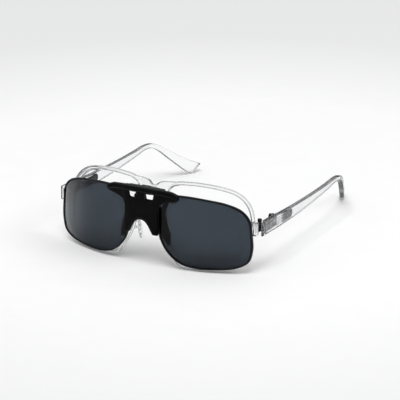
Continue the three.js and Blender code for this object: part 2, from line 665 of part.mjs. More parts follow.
function bridgeSection(x) {
  const reach = Math.abs(x);
  const intoEnd = Math.max(reach - BAR_HALF_LENGTH + BAR_END_RUN, 0) / BAR_END_RUN;
  const top = BAR_TOP - BAR_TOP_DROP * (reach / BAR_HALF_LENGTH) ** 2 - BAR_END_DROP * intoEnd;
  const low = bridgeLower(reach);
  const outward = THREE.MathUtils.smoothstep(reach, LEG_HALF_WIDTH - 2, LEG_HALF_WIDTH + 4);
  const front = THREE.MathUtils.lerp(BRIDGE_FRONT, WING_FRONT, outward);
  const soft = 0.5;
  const bar = front - THREE.MathUtils.lerp(BAR_STEP, WING_STEP, outward);
  const barLow = Math.max(top - BAR_HEIGHT, low + soft + 0.2);
  const ridges = [];
  const run = (BRIDGE_BACK - bar - 2 * soft) / BAR_RIDGES;
  for (let i = 0; i < BAR_RIDGES; i += 1) {
    const y = bar + soft + i * run;
    ridges.push([y, top], [y + run * 0.55, top], [y + run * 0.7, top - BAR_RIDGE_DEPTH]);
  }
  const profile = [
    [front + soft, low], [front, low + soft], [front, barLow], [bar, barLow + 0.4],
    [bar, top - soft - 0.3], ...ridges,
    [BRIDGE_BACK - 0.2, top], [BRIDGE_BACK, top - soft], [BRIDGE_BACK, low],
  ];
  return profile.map(([y, z]) => new THREE.Vector3(x, clipSag(reach) + y, z));
}

function clipBridge() {
  const reaches = [
    0, 2.2, 4.2, 5.8, 7.2, LEG_INNER, LEG_HALF_WIDTH, LEG_HALF_WIDTH + 0.25,
    ...WING_LOWER.map(([x]) => x).reverse().slice(1),
  ];
  const stations = [...reaches.slice(1).reverse().map((x) => -x), ...reaches];
  const moulding = loft(stations.map(bridgeSection));
  const windows = [1, -1].map((side) => {
    const opening = new THREE.Shape();
    opening.moveTo(WINDOW_INNER + WINDOW_TAPER, WINDOW_LOW);
    opening.lineTo(WINDOW_OUTER - WINDOW_TAPER, WINDOW_LOW);
    opening.lineTo(WINDOW_OUTER, WINDOW_HIGH);
    opening.lineTo(WINDOW_INNER, WINDOW_HIGH);
    const through = 2 * (BRIDGE_BACK - BRIDGE_FRONT) + 2;
    const tool = new THREE.ExtrudeGeometry(opening, { depth: through, bevelEnabled: false });
    tool.rotateX(Math.PI / 2).translate(0, BRIDGE_BACK + through / 2, 0);
    const upright = toGeometry(toSolid(tool));
    return side > 0 ? upright : mirrored(upright);
  });
  const ears = [1, -1].flatMap((side) => {
    const inner = FLIP_BARREL_HALF + KNUCKLE_GAP;
    const [x0, x1] = side > 0 ? [inner, inner + FLIP_EAR_WIDTH] : [-inner - FLIP_EAR_WIDTH, -inner];
    const root = box(x0, x1, BRIDGE_BACK - 0.4, FLIP_Y, FLIP_Z - 1.4, FLIP_Z + 1.4);
    return [barX(FLIP_BARREL_RADIUS, FLIP_Y, FLIP_Z, x0, x1), root];
  });
  const archPoints = [];
  for (let i = -6; i <= 6; i += 1) {
    const x = (i / 6) * (LEG_INNER + 0.4);
    const edge = bridgeLower(Math.min(Math.abs(x), LEG_INNER));
    archPoints.push([x, clipSag(x) + BRIDGE_FRONT + 0.1, edge + ARCH_BEAD]);
  }
  const bead = wire(archPoints, ARCH_BEAD, 18, 6);
  const pinRoom = FLIP_BARREL_HALF + FLIP_EAR_WIDTH + 1;
  const pinBore = barX(FLIP_PIN_RADIUS + PIN_CLEARANCE, FLIP_Y, FLIP_Z, -pinRoom, pinRoom);
  const rivets = [1, -1].flatMap((side) => RIVET_PLACES.map(([x, z]) => (
    barY(RIVET_RADIUS + SCREW_CLEARANCE, side * x, z, clipSag(x) + BRIDGE_BACK - 0.9, clipSag(x)))));
  return cut(join(moulding, bead, ...ears), ...windows, pinBore, ...rivets);
}

addPiece('clip_bridge', clipBridge(), blackPlastic);
const flipPinHalf = FLIP_BARREL_HALF + KNUCKLE_GAP + FLIP_EAR_WIDTH;
addPiece('flip_pin', barX(FLIP_PIN_RADIUS, FLIP_Y, FLIP_Z, -flipPinHalf, flipPinHalf, 12), springSteel);

// Clamp base: the block that carries the flip hinge, with two flat prongs in front of the frame
function frontProng() {
  const rings = FRONT_PRONG.map(([below, x, y, wide]) => {
    const half = FRONT_PRONG_THICKNESS / 2;
    return [[-wide / 2, -half], [wide / 2, -half], [wide / 2, half], [-wide / 2, half]]
      .map(([a, b]) => new THREE.Vector3(x + a, y + b, FLIP_Z - below));
  });
  return loft(rings);
}

function clampBase() {
  const block = box(-BASE_HALF_LENGTH, BASE_HALF_LENGTH, BASE_FRONT, BASE_BACK, BASE_LOW, BASE_HIGH);
  const shoulder = box(-SHOULDER_HALF_LENGTH, SHOULDER_HALF_LENGTH, BASE_FRONT,
    BASE_FRONT + SHOULDER_DEPTH, BASE_LOW, BASE_LOW + SHOULDER_HEIGHT);
  const barrel = barX(FLIP_BARREL_RADIUS, FLIP_Y, FLIP_Z, -FLIP_BARREL_HALF, FLIP_BARREL_HALF);
  const webBack = BASE_FRONT + 0.4;
  const web = box(-FLIP_BARREL_HALF, FLIP_BARREL_HALF, FLIP_Y, webBack, FLIP_Z - 1.3, FLIP_Z + 1.2);
  const prong = frontProng();
  const ears = [1, -1].flatMap((side) => {
    const [x0, x1] = side > 0 ? [JAW_EAR_INNER, JAW_EAR_OUTER] : [-JAW_EAR_OUTER, -JAW_EAR_INNER];
    const root = box(x0, x1, BASE_BACK - 0.5, JAW_Y, JAW_Z, BASE_LOW + 1.5);
    return [barX(JAW_BARREL_RADIUS, JAW_Y, JAW_Z, x0, x1), root];
  });
  const boreHalf = FLIP_BARREL_HALF + 1;
  const flipBore = barX(FLIP_PIN_RADIUS + PIN_CLEARANCE, FLIP_Y, FLIP_Z, -boreHalf, boreHalf);
  const jawBore = barX(JAW_PIN_RADIUS + PIN_CLEARANCE, JAW_Y, JAW_Z, -boreHalf, boreHalf);
  return cut(join(block, shoulder, barrel, web, prong, mirrored(prong), ...ears), flipBore, jawBore);
}

addPiece('clamp_base', clampBase(), blackPlastic);
addPiece('jaw_pin', barX(JAW_PIN_RADIUS, JAW_Y, JAW_Z, -JAW_EAR_OUTER, JAW_EAR_OUTER, 12), springSteel);

function prongPad() {
  const [x, z] = PRONG_PAD_PLACE;
  const front = FRONT_PRONG.at(-2)[2] + FRONT_PRONG_THICKNESS / 2 + SEAT_GAP;
  const raised = (z - FRONT_CENTRE_HEIGHT) / Math.cos(toRadians(FRONT_TILT));
  const lensFace = onFront(x, raised - PRONG_PAD_RADIUS, RIM_DEPTH / 2 - GROOVE_HALF).y;
  return toGeometry(toSolid(barY(PRONG_PAD_RADIUS, x, z, front, lensFace - SEAT_GAP)));
}

const frontPad = prongPad();
addPiece('prong_pad_left', frontPad, softVinyl);
addPiece('prong_pad_right', mirrored(frontPad), softVinyl);

// Clamp jaw: turns on its pin, reaches under the frame's bridge and bears on the backs of the lenses
const rearProng = REAR_PRONG.map(([x, back, below]) => [x, JAW_Y + back, JAW_Z - below]);

function clampJaw() {
  const barrel = barX(JAW_BARREL_RADIUS, JAW_Y, JAW_Z, JAW_BARREL_RIGHT, JAW_BARREL_LEFT);
  const arm = box(-JAW_ARM_HALF, JAW_ARM_HALF, JAW_Y + 2, JAW_ARM_REACH, JAW_ARM_LOW, JAW_ARM_HIGH);
  const root = box(-JAW_ARM_HALF, JAW_BARREL_LEFT, JAW_Y, JAW_Y + 2.5, JAW_ARM_LOW + 0.6, JAW_ARM_HIGH);
  const tail = box(JAW_BARREL_RIGHT, JAW_BARREL_LEFT, JAW_Y - JAW_TAIL_THICKNESS / 2,
    JAW_Y + JAW_TAIL_THICKNESS / 2, JAW_Z + 1, JAW_TAIL_HIGH);
  const prong = wire(rearProng, REAR_PRONG_RADIUS, 14, 8);
  const prongSolid = toGeometry(toSolid(prong));
  const bore = barX(JAW_PIN_RADIUS + PIN_CLEARANCE, JAW_Y, JAW_Z, -JAW_EAR_OUTER, JAW_EAR_OUTER);
  return cut(join(barrel, root, arm, tail, prongSolid, mirrored(prongSolid)), bore);
}

addPiece('clamp_jaw', clampJaw(), blackPlastic);

// Soft sleeves on the ends of the rear prongs
function prongSleeve() {
  const path = new THREE.CatmullRomCurve3(rearProng.map((p) => new THREE.Vector3(...p)));
  const start = 1 - SLEEVE_LENGTH / path.getLength();
  const spots = [0, 0.5, 1].map((share) => path.getPointAt(start + share * (1 - start)).toArray());
  const outer = wire(spots, SLEEVE_RADIUS, 4, 10);
  const past = [-0.3, 0.5, 1.3].map((share) => {
    const at = path.getPointAt(Math.min(start + share * (1 - start), 1));
    const over = Math.max(start + share * (1 - start) - 1, 0) * path.getLength();
    return at.addScaledVector(path.getTangentAt(1), over).toArray();
  });
  const inner = wire(past, REAR_PRONG_RADIUS + SLEEVE_FIT, 6, 10);
  return cut(outer, inner);
}

const sleeve = prongSleeve();
addPiece('prong_sleeve_left', sleeve, softVinyl);
addPiece('prong_sleeve_right', mirrored(sleeve), softVinyl);

// Torsion spring on the jaw pin: one leg stands against the base, the other presses the jaw's arm down
function jawSpring() {
  const coil = JAW_PIN_RADIUS + PIN_CLEARANCE + SPRING_WIRE;
  const startX = JAW_EAR_INNER - SEAT_GAP - SPRING_WIRE;
  const endX = startX - SPRING_TURNS * SPRING_PITCH;
  const points = [1, 0.67, 0.33].map((share) => [startX, JAW_Y - coil, JAW_Z + share * SPRING_LEG]);
  for (let i = 0; i <= SPRING_TURNS * 8; i += 1) {
    const angle = Math.PI + (i / 8) * FULL_TURN;
    const x = startX - (i / 8) * SPRING_PITCH;
    points.push([x, JAW_Y + coil * Math.cos(angle), JAW_Z + coil * Math.sin(angle)]);
  }
  const legStart = JAW_Y + coil;
  const armLeg = [[0.4, 0.6], [1.2, 0.4], [2.2, 0]];
  armLeg.forEach(([back, up]) => points.push([endX, legStart + back, JAW_Z + up]));

  const path = new THREE.CatmullRomCurve3(points.map((p) => new THREE.Vector3(...p)));
  const turn = FULL_TURN * coil;
  const spots = path.getSpacedPoints(200);
  const apart = Math.ceil((turn / 2 / path.getLength()) * 200);
  let least = Infinity;
  spots.forEach((spot, i) => spots.slice(i + apart).forEach((other) => {
    least = Math.min(least, spot.distanceTo(other) - 2 * SPRING_WIRE);
  }));
  console.log(`jaw_spring: least gap to itself ${least.toFixed(2)} mm`);
  const steps = Math.round((path.getLength() / turn) * 8);
  return toGeometry(toSolid(wire(points, SPRING_WIRE, steps, 5)));
}

addPiece('jaw_spring', jawSpring(), springSteel);

// Origin on the table, under the middle of the standing glasses
const reachBox = new THREE.Box3().setFromObject(glasses);
glasses.position.y = -(reachBox.min.y + reachBox.max.y) / 2;
glasses.position.z = -reachBox.min.z;

export default glasses;
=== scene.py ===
import math

import bmesh
import bpy
import numpy as np
from mathutils import Matrix, Vector


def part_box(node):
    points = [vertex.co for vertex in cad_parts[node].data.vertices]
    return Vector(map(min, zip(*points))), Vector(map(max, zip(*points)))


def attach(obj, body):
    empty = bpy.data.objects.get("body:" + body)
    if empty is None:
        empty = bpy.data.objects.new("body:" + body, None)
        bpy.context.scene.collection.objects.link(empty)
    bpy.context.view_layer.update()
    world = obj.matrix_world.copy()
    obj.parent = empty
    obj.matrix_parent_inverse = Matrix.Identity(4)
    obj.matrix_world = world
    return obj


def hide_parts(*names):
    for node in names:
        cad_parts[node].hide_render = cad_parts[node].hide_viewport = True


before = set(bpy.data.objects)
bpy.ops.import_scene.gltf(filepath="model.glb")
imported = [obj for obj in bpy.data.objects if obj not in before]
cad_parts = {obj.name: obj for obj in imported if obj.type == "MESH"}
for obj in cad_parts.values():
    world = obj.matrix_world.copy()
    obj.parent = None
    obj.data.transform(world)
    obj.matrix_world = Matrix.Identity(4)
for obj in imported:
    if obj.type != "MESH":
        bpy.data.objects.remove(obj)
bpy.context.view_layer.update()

# Camera
# The glasses from the front and a little above, on the wearer's left, through a long lens. Sizes are
# millimetres across, back and up on the part's own drawing, placed by the middle of the flip pin.
MM = 0.001
TO_MM = 1000.0
FLIP_PIN = (0.0, 1.45, 48.2)
CAMERA_AZIMUTH = math.radians(28.32)
CAMERA_ELEVATION = math.radians(19.65)
CAMERA_DISTANCE = 1321.78
CAMERA_FOCAL = 2179.86
CAMERA_TARGET = np.array((0.0, 20.0, 25.0))
TARGET_PIXEL = (159.36, 215.88)
PICTURE_SIZE = 400
SENSOR_WIDTH = 36.0
CLIP_NEAR = 0.05
CLIP_FAR = 50.0

pin_low, pin_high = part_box("flip_pin")
ORIGIN = np.array((pin_low + pin_high) / 2) - np.array(FLIP_PIN) * MM


def in_frame(points):
    """Places on the drawing, in millimetres, as places in the frame, in metres"""
    return np.asarray(points, float) * MM + ORIGIN


def into_scene(name, data):
    """A new object in the scene"""
    made = bpy.data.objects.new(name, data)
    bpy.context.scene.collection.objects.link(made)
    return made


right = np.array((math.cos(CAMERA_AZIMUTH), math.sin(CAMERA_AZIMUTH), 0.0))
back = np.array((
    math.sin(CAMERA_AZIMUTH) * math.cos(CAMERA_ELEVATION),
    -math.cos(CAMERA_AZIMUTH) * math.cos(CAMERA_ELEVATION),
    math.sin(CAMERA_ELEVATION),
))
up = np.cross(back, right)
aside = (TARGET_PIXEL[0] - PICTURE_SIZE / 2) / CAMERA_FOCAL * CAMERA_DISTANCE
above = (PICTURE_SIZE / 2 - TARGET_PIXEL[1]) / CAMERA_FOCAL * CAMERA_DISTANCE
eye = in_frame(CAMERA_TARGET + back * CAMERA_DISTANCE - right * aside - up * above)
camera_data = bpy.data.cameras.new("camera")
camera_data.sensor_fit = "HORIZONTAL"
camera_data.sensor_width = SENSOR_WIDTH
camera_data.lens = CAMERA_FOCAL / PICTURE_SIZE * SENSOR_WIDTH
camera_data.clip_start = CLIP_NEAR
camera_data.clip_end = CLIP_FAR
camera = into_scene("camera", camera_data)
camera.matrix_world = Matrix([*np.column_stack([right, up, back, eye]).tolist(), (0, 0, 0, 1)])
bpy.context.scene.camera = camera
bpy.context.scene.view_settings.view_transform = "Standard"


# Floor and light
# A sheet of matt white paper, with painted shade darkening it away from the middle of the view, in a
# white room that gets darker towards the ground, so that clear plastic shows its edges. A large softbox
# hangs over the front and a smaller one stands aside.
class Socket:
    """One shader socket that takes part in plain arithmetic"""

    def __init__(self, tree, socket):
        self.tree = tree
        self.socket = socket

    def node(self, kind, inputs=None, output=0, **settings):
        """Any node of this tree, its inputs given by name or number, one output handed back"""
        made = self.tree.nodes.new(kind)
        for key, value in settings.items():
            setattr(made, key, value)
        for key, value in (inputs or {}).items():
            if isinstance(value, Socket):
                self.tree.links.new(value.socket, made.inputs[key])
            else:
                made.inputs[key].default_value = value
        return Socket(self.tree, made.outputs[output])

    def math(self, operation, first, second=0.0):
        return self.node("ShaderNodeMath", {0: first, 1: second}, operation=operation)

    def __add__(self, other):
        return self.math("ADD", self, other)

    def __radd__(self, other):
        return self.math("ADD", other, self)

    def __sub__(self, other):
        return self.math("SUBTRACT", self, other)

    def __rsub__(self, other):
        return self.math("SUBTRACT", other, self)

    def __mul__(self, other):
        return self.math("MULTIPLY", self, other)

    def __rmul__(self, other):
        return self.math("MULTIPLY", other, self)

    def __pow__(self, other):
        return self.math("POWER", self, other)

    def __rpow__(self, other):
        return self.math("POWER", other, self)

    def __abs__(self):
        return self.math("ABSOLUTE", self)

    def part(self, axis):
        """One of the three parts of a place or a direction"""
        return self.node("ShaderNodeSeparateXYZ", {0: self}, axis)

    def normal(self):
        """The way that the surface faces"""
        return self.node("ShaderNodeTexCoord", output="Normal")

    def turned_away(self):
        """How far the surface is turned away from the eye, from 0 to 1"""
        return self.node("ShaderNodeLayerWeight", {"Blend": 0.5}, "Facing")

    def noise(self, scale, detail=2.0, roughness=0.5):
        """Cloudy noise over these coordinates"""
        inputs = {"Vector": self, "Scale": scale, "Detail": detail, "Roughness": roughness}
        return self.node("ShaderNodeTexNoise", inputs)

    def ramp(self, low, high, to_low=0.0, to_high=1.0):
        """This value stretched from one range to another, held at its ends"""
        inputs = {"Value": self, "From Min": low, "From Max": high, "To Min": to_low, "To Max": to_high}
        return self.node("ShaderNodeMapRange", inputs)

    def mix(self, first, second):
        """A colour between two, this value being the share of the second"""
        first, second = (c if isinstance(c, Socket) else (*c, 1) for c in (first, second))
        return self.node("ShaderNodeMix", {0: self, 6: first, 7: second}, 2, data_type="RGBA")

    def bump(self, strength, depth):
        """The way that the surface faces where this value dents it, to a depth in metres"""
        return self.node("ShaderNodeBump", {"Strength": strength, "Distance": depth, "Height": self})

    def feed(self, shader, name):
        self.tree.links.new(self.socket, shader.inputs[name])


def new_material(name, **constants):
    """A material with its shader's constant sockets set: (material, shader, object coordinates)"""
    material = bpy.data.materials.new(name)
    material.use_nodes = True
    tree = material.node_tree
    shader = tree.nodes["Principled BSDF"]
    for key, value in constants.items():
        shader.inputs[key.replace("_", " ")].default_value = value
    coordinates = tree.nodes.new("ShaderNodeTexCoord")
    return material, shader, Socket(tree, coordinates.outputs["Object"])


CLOUD = (0.3, 0.7)  # the range that most of a cloudy noise lies in
FLOOR_HALF = 4.0
FLOOR_CORNERS = ((-1, -1), (1, -1), (1, 1), (-1, 1))
PAPER_TINTS = ((0.955, 0.956, 0.958), (0.97, 0.97, 0.97))
# Painted shade: the paper is painted greyer away from a middle point, for the light falling off towards
# the corners
PAPER_PAINTED_FALLOFF_TINT = (0.83, 0.832, 0.836)
PAPER_GRAIN = (60.0, 4.0)
PAINTED_FALLOFF_MIDDLE = (-0.025, 0.06, 0.0)
PAINTED_FALLOFF_RANGE = (0.2, 0.38)
floor_mesh = bpy.data.meshes.new("floor")
floor_points = [(x * FLOOR_HALF, y * FLOOR_HALF, 0) for x, y in FLOOR_CORNERS]
floor_mesh.from_pydata(floor_points, [], [(0, 1, 2, 3)])
floor = into_scene("floor", floor_mesh)
paper, paper_shader, paper_at = new_material("white_paper", Roughness=0.9, Specular_IOR_Level=0.0)
paper_tint = paper_at.noise(*PAPER_GRAIN).ramp(*CLOUD).mix(*PAPER_TINTS)
# The paper's colour darkens with distance from that middle: painted falloff of the light
to_middle = {0: paper_at, 1: PAINTED_FALLOFF_MIDDLE}
painted_falloff = paper_at.node("ShaderNodeVectorMath", to_middle, "Value", operation="DISTANCE")
painted_falloff.ramp(*PAINTED_FALLOFF_RANGE).mix(paper_tint, PAPER_PAINTED_FALLOFF_TINT).feed(paper_shader, "Base Color")
floor_mesh.materials.append(paper)

ROOM_ZENITH = (0.66, 0.66, 0.66)
ROOM_HORIZON = (0.2, 0.2, 0.2)
ROOM_BLEND = (0.0, 0.75)
world = bpy.data.worlds.new("white_room")
world.use_nodes = True
bpy.context.scene.world = world
room = world.node_tree.nodes["Background"]
room_at = Socket(world.node_tree, world.node_tree.nodes.new("ShaderNodeTexCoord").outputs["Generated"])
room_at.part("Z").ramp(*ROOM_BLEND).mix(ROOM_HORIZON, ROOM_ZENITH).feed(room, "Color")

SOFTBOX_AIM = Vector((0, 0, 0.02))
SOFTBOXES = [
    ("overhead", (0.45, -1.77, 3.98), 2.2, 86.0),
    ("side", (2.3, 0.2, 2.0), 1.2, 12.0),
]
for name, spot, size, power in SOFTBOXES:
    lamp = bpy.data.lights.new(name, "AREA")
    lamp.shape = "SQUARE"
    lamp.size = size
    lamp.energy = power
    softbox = into_scene(name, lamp)
    softbox.location = spot
    softbox.visible_glossy = False  # as behind a tent, so that no lamp is mirrored in the lenses
    softbox.rotation_euler = (SOFTBOX_AIM - Vector(spot)).to_track_quat("-Z", "Y").to_euler()


# Clear front
# The spectacle frame's front is one injection moulding in crystal clear plastic: two grooved rims,
# a saddle bridge, a lug at each end and the two arms that carry the nose pads.
FRONT_CURVE = 150.0
FRONT_TILT = math.radians(14)
FRONT_SETBACK = 6.7
FRONT_HEIGHT = 27.8
RIM_OUTLINE = [
    (8.6, 20.4), (14, 24.3), (23.5, 25.7), (33, 25.9), (43, 25.3), (51, 23.7), (57, 20.4), (61.4, 15),
    (63.9, 7.5), (64.4, -2), (62.6, -12), (57.6, -20), (49, -24.4), (37, -26.5), (28, -27),
    (21, -25.2), (15.8, -18.2), (11.7, -10.5), (9.2, -1), (7.8, 10),
]
RIM_STEPS = 200
RIM_WIDTH = 2.4
RIM_DEPTH = 3.4
RIM_OUTER_ROUND = 0.75
RIM_INNER_ROUND = 0.3
GROOVE_REACH = 0.7
GROOVE_HALF = 0.8
RIM_GROOVE = (RIM_WIDTH, RIM_DEPTH, GROOVE_REACH, GROOVE_HALF)


def curve_at(points, share, closed=False):
    """Points on a smooth curve through the given ones, at shares of its spans from 0 to 1"""
    given = np.asarray(points, float)
    spans = len(given) if closed else len(given) - 1
    if closed:
        ring = np.vstack([given[-1:], given, given[:2]])
    else:
        ring = np.vstack([2 * given[:1] - given[1:2], given, 2 * given[-1:] - given[-2:-1]])
    place = np.asarray(share, float) * spans
    index = np.clip(np.floor(place).astype(int), 0, spans - 1)
    part = (place - index)[:, None]
    p0, p1, p2, p3 = ring[index], ring[index + 1], ring[index + 2], ring[index + 3]
    d0, d1, d2 = (np.maximum(np.sum((b - a) ** 2, 1), 1e-9)[:, None] ** 0.25
                  for a, b in ((p0, p1), (p1, p2), (p2, p3)))
    leave = ((p1 - p0) / d0 - (p2 - p0) / (d0 + d1) + (p2 - p1) / d1) * d1
    arrive = ((p2 - p1) / d1 - (p3 - p1) / (d1 + d2) + (p3 - p2) / d2) * d1
    square = -3 * p1 + 3 * p2 - 2 * leave - arrive
    cube = 2 * p1 - 2 * p2 + leave + arrive
    return p1 + part * (leave + part * (square + part * cube))


def even_path(points, steps, closed=False, fine=40):
    """An even run of points on the smooth curve through the given ones"""
    close = curve_at(points, np.linspace(0, 1, fine * len(points) + 1), closed)
    run = np.concatenate([[0], np.cumsum(np.linalg.norm(np.diff(close, axis=0), axis=1))])
    at = np.linspace(0, run[-1], steps + 1)
    spots = np.column_stack([np.interp(at, run, close[:, k]) for k in range(close.shape[1])])
    return spots[:-1] if closed else spots


def soften(corners, steps=4):
    """A closed section with each corner rounded off: corners are (across, along, radius)"""
    points = []
    for i, (x, y, radius) in enumerate(corners):
        corner = np.array((x, y), float)
        if radius == 0:
            points.append(corner)
            continue
        before = np.array(corners[i - 1][:2], float) - corner
        after = np.array(corners[(i + 1) % len(corners)][:2], float) - corner
        start = corner + before / np.linalg.norm(before) * radius
        end = corner + after / np.linalg.norm(after) * radius
        for t in np.linspace(0, 1, steps + 1):
            points.append((1 - t) ** 2 * start + 2 * t * (1 - t) * corner + t ** 2 * end)
    return np.array(points)


def to_object(name, points, faces):
    """A new mesh object from points in millimetres, its faces turned outwards"""
    mesh = bpy.data.meshes.new(name)
    mesh.from_pydata(in_frame(points).tolist(), [], faces)
    shape = bmesh.new()
    shape.from_mesh(mesh)
    bmesh.ops.recalc_face_normals(shape, faces=shape.faces)
    shape.to_mesh(mesh)
    shape.free()
    return into_scene(name, mesh)


def skin(name, rings, closed=False):
    """A skin over a row of rings, its two ends filled unless the row closes on itself"""
    rings = np.asarray(rings, float)
    rows, count = rings.shape[:2]
    faces = []
    for i in range(rows if closed else rows - 1):
        here = i * count
        after = ((i + 1) % rows) * count
        for j in range(count):
            k = (j + 1) % count
            faces.append((here + j, here + k, after + k, after + j))
    if not closed:
        faces.append(tuple(range(count)))
        faces.append(tuple(range((rows - 1) * count, rows * count)))
    return to_object(name, rings.reshape(-1, 3), faces)


def tube(name, path, radius, sides=20):
    """A round bar along a path of points"""
    path = np.asarray(path, float)
    ahead = np.gradient(path, axis=0)
    ahead /= np.linalg.norm(ahead, axis=1)[:, None]
    side = np.cross(ahead[0], (0.31, 0.27, 0.91))  # any way that no bar here runs along
    rings = []
    turn = np.linspace(0, 2 * math.pi, sides, endpoint=False)[:, None]
    for spot, way in zip(path, ahead):
        side = side - way * np.dot(side, way)
        side /= np.linalg.norm(side)
        across = np.cross(way, side)
        rings.append(spot + radius * (np.cos(turn) * side + np.sin(turn) * across))
    return skin(name, rings)


def block(name, low, high, edge=0.0, steps=3):
    """A block between two corners, its edges rounded where an edge radius is given"""
    (x0, y0, z0), (x1, y1, z1) = low, high
    outline = soften([(x0, y0, edge), (x1, y0, edge), (x1, y1, edge), (x0, y1, edge)], steps)
    middle = np.array(((x0 + x1) / 2, (y0 + y1) / 2))
    rings = []
    for t in np.linspace(0, math.pi / 2, steps + 1) if edge else (0.0,):
        inset = edge * (1 - math.sin(t))
        shrink = 1 - 2 * inset / np.array((x1 - x0, y1 - y0))
        rings.append((z0 + edge * (1 - math.cos(t)), middle + (outline - middle) * shrink))
    rows = [np.column_stack([flat, np.full(len(flat), z)]) for z, flat in rings]
    rows += [np.column_stack([flat, np.full(len(flat), z0 + z1 - z)]) for z, flat in reversed(rings)]
    return skin(name, rows)


def settle(piece):
    """Makes what a piece's modifiers give its plain mesh"""
    bpy.context.view_layer.update()
    graph = bpy.context.evaluated_depsgraph_get()
    piece.data = bpy.data.meshes.new_from_object(piece.evaluated_get(graph))
    piece.modifiers.clear()
    return piece


def carve(body, tool, operation="DIFFERENCE"):
    """Cuts a tool out of a body or joins it on, and does away with the tool"""
    step = body.modifiers.new("carve", "BOOLEAN")
    step.operation = operation
    step.solver = "MANIFOLD"
    step.object = tool
    settle(body)
    bpy.data.objects.remove(tool)


def mirror(piece, name):
    """The same piece for the wearer's other side"""
    mesh = piece.data.copy()
    mesh.name = name
    mesh.transform(Matrix.Diagonal((-1, 1, 1, 1)))
    mesh.flip_normals()
    return into_scene(name, mesh)


def finish_piece(piece, material, body, slot, *nodes, crease=32):
    """Smooth shading up to a crease angle, the material, and the body that the piece rides on"""
    shape = bmesh.new()
    shape.from_mesh(piece.data)
    for face in shape.faces:
        face.smooth = True
    for edge in shape.edges:
        edge.smooth = len(edge.link_faces) != 2 or edge.calc_face_angle(0) < math.radians(crease)
    shape.to_mesh(piece.data)
    shape.free()
    piece.data.materials.clear()
    piece.data.materials.append(material)
    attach(piece, body)
    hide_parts(*nodes)


def on_front(u, v, depth):
    """A place on the curved, tilted front: across, up and back from its face"""
    rest = np.sqrt(FRONT_CURVE ** 2 - u ** 2 - v ** 2)
    share = depth / FRONT_CURVE
    y = FRONT_CURVE - rest + share * rest
    raised = v * (1 - share)
    return np.stack([
        u * (1 - share),
        FRONT_SETBACK + y * math.cos(FRONT_TILT) + raised * math.sin(FRONT_TILT),
        FRONT_HEIGHT + raised * math.cos(FRONT_TILT) - y * math.sin(FRONT_TILT),
    ], axis=-1)


def outline_of(points, steps):
    """Even spots round a closed outline and the outward direction at each"""
    spots = even_path(points, steps, closed=True)
    along = np.roll(spots, -1, axis=0) - np.roll(spots, 1, axis=0)
    along /= np.linalg.norm(along, axis=1)[:, None]
    return spots, np.column_stack([-along[:, 1], along[:, 0]])


def grooved_section(width, depth, reach, half, outer_round, inner_round):
    """A rim's section, (inset, depth), with a lens groove in its inner face"""
    middle = depth / 2
    return soften([
        (0, 0, outer_round), (0, depth, outer_round), (width, depth, inner_round),
        (width, middle + half, 0), (width - reach, middle, 0), (width, middle - half, 0),
        (width, 0, inner_round),
    ])


def rim(name, outline, place, section):
    """A bar of the given section, (inset, depth), carried round an outline"""
    inset = section[:, :1]
    depth = section[:, 1]
    rings = [place(*(spot - way * inset).T, depth) for spot, way in zip(*outline)]
    return skin(name, rings, closed=True)


rim_outline = outline_of(RIM_OUTLINE, RIM_STEPS)
rim_section = grooved_section(*RIM_GROOVE, RIM_OUTER_ROUND, RIM_INNER_ROUND)
front = rim("clear_front", rim_outline, on_front, rim_section)
carve(front, mirror(front, "rim_right"), "UNION")

# The saddle's rows are its place across, its top and its bottom
SADDLE = [
    (0, 20.6, 18.9), (1.6, 20.9, 18.8), (3, 22.2, 18.6), (4.4, 23.1, 18), (6.6, 23.7, 16.6),
    (8.8, 24, 15.2), (10.2, 24.1, 19.9), (12.4, 24.3, 21.8), (14.2, 24.4, 22.8),
]
SADDLE_STEPS = 96
SADDLE_ROUND = 0.7
saddle_rows = [(-u, top, bottom) for u, top, bottom in SADDLE[:0:-1]] + SADDLE
saddle = []
for u, top, bottom in curve_at(saddle_rows, np.linspace(0, 1, SADDLE_STEPS + 1)):
    corners = ((bottom, 0), (top, 0), (top, RIM_DEPTH), (bottom, RIM_DEPTH))
    ring = soften([(*corner, SADDLE_ROUND) for corner in corners])
    saddle.append(on_front(np.full(len(ring), u), ring[:, 0], ring[:, 1]))
carve(front, skin("saddle", saddle), "UNION")

HINGE_HEIGHT = 28.2
LUG_INNER = 63.2
LUG_OUTER = 66.9
LUG_FRONT = 17.6
LUG_BACK = 21.6
LUG_HEIGHT = 8.5
LUG_ROUND = 0.7
PAD_CENTRE = (8.2, 10.6, 19.2)
PAD_THICKNESS = 2.6
ARM_RADIUS = 0.9
ARM_STEPS = 16
ARM_REACH = 3.6
ARM_END = (1.2, 0.4)
ARM_BOW = (0.6, 0.6, 0)
pad_raised = (PAD_CENTRE[2] - FRONT_HEIGHT) / math.cos(FRONT_TILT)
arm_root = on_front(np.array(PAD_CENTRE[0] + ARM_REACH), np.array(pad_raised), RIM_DEPTH / 2)
arm_end = np.array((
    PAD_CENTRE[0] + PAD_THICKNESS / 2 + ARM_END[0], PAD_CENTRE[1] + ARM_END[1], PAD_CENTRE[2]))
arm_bend = (arm_root + arm_end) / 2 + np.array(ARM_BOW)
for side in ("left", "right"):
    lug = block("lug", (LUG_INNER, LUG_FRONT, HINGE_HEIGHT - LUG_HEIGHT / 2),
                (LUG_OUTER, LUG_BACK, HINGE_HEIGHT + LUG_HEIGHT / 2), LUG_ROUND)
    arm = tube("pad_arm", even_path([arm_root, arm_bend, arm_end], ARM_STEPS), ARM_RADIUS)
    for extra in (lug, arm):
        if side == "right":
            flipped = mirror(extra, "flipped")
            bpy.data.objects.remove(extra)
            extra = flipped
        carve(front, extra, "UNION")

TABLE_HALF = 90
TABLE_FRONT = -30
TABLE_BACK = 200
TABLE_THICKNESS = 20
table_top = -ORIGIN[2] * TO_MM


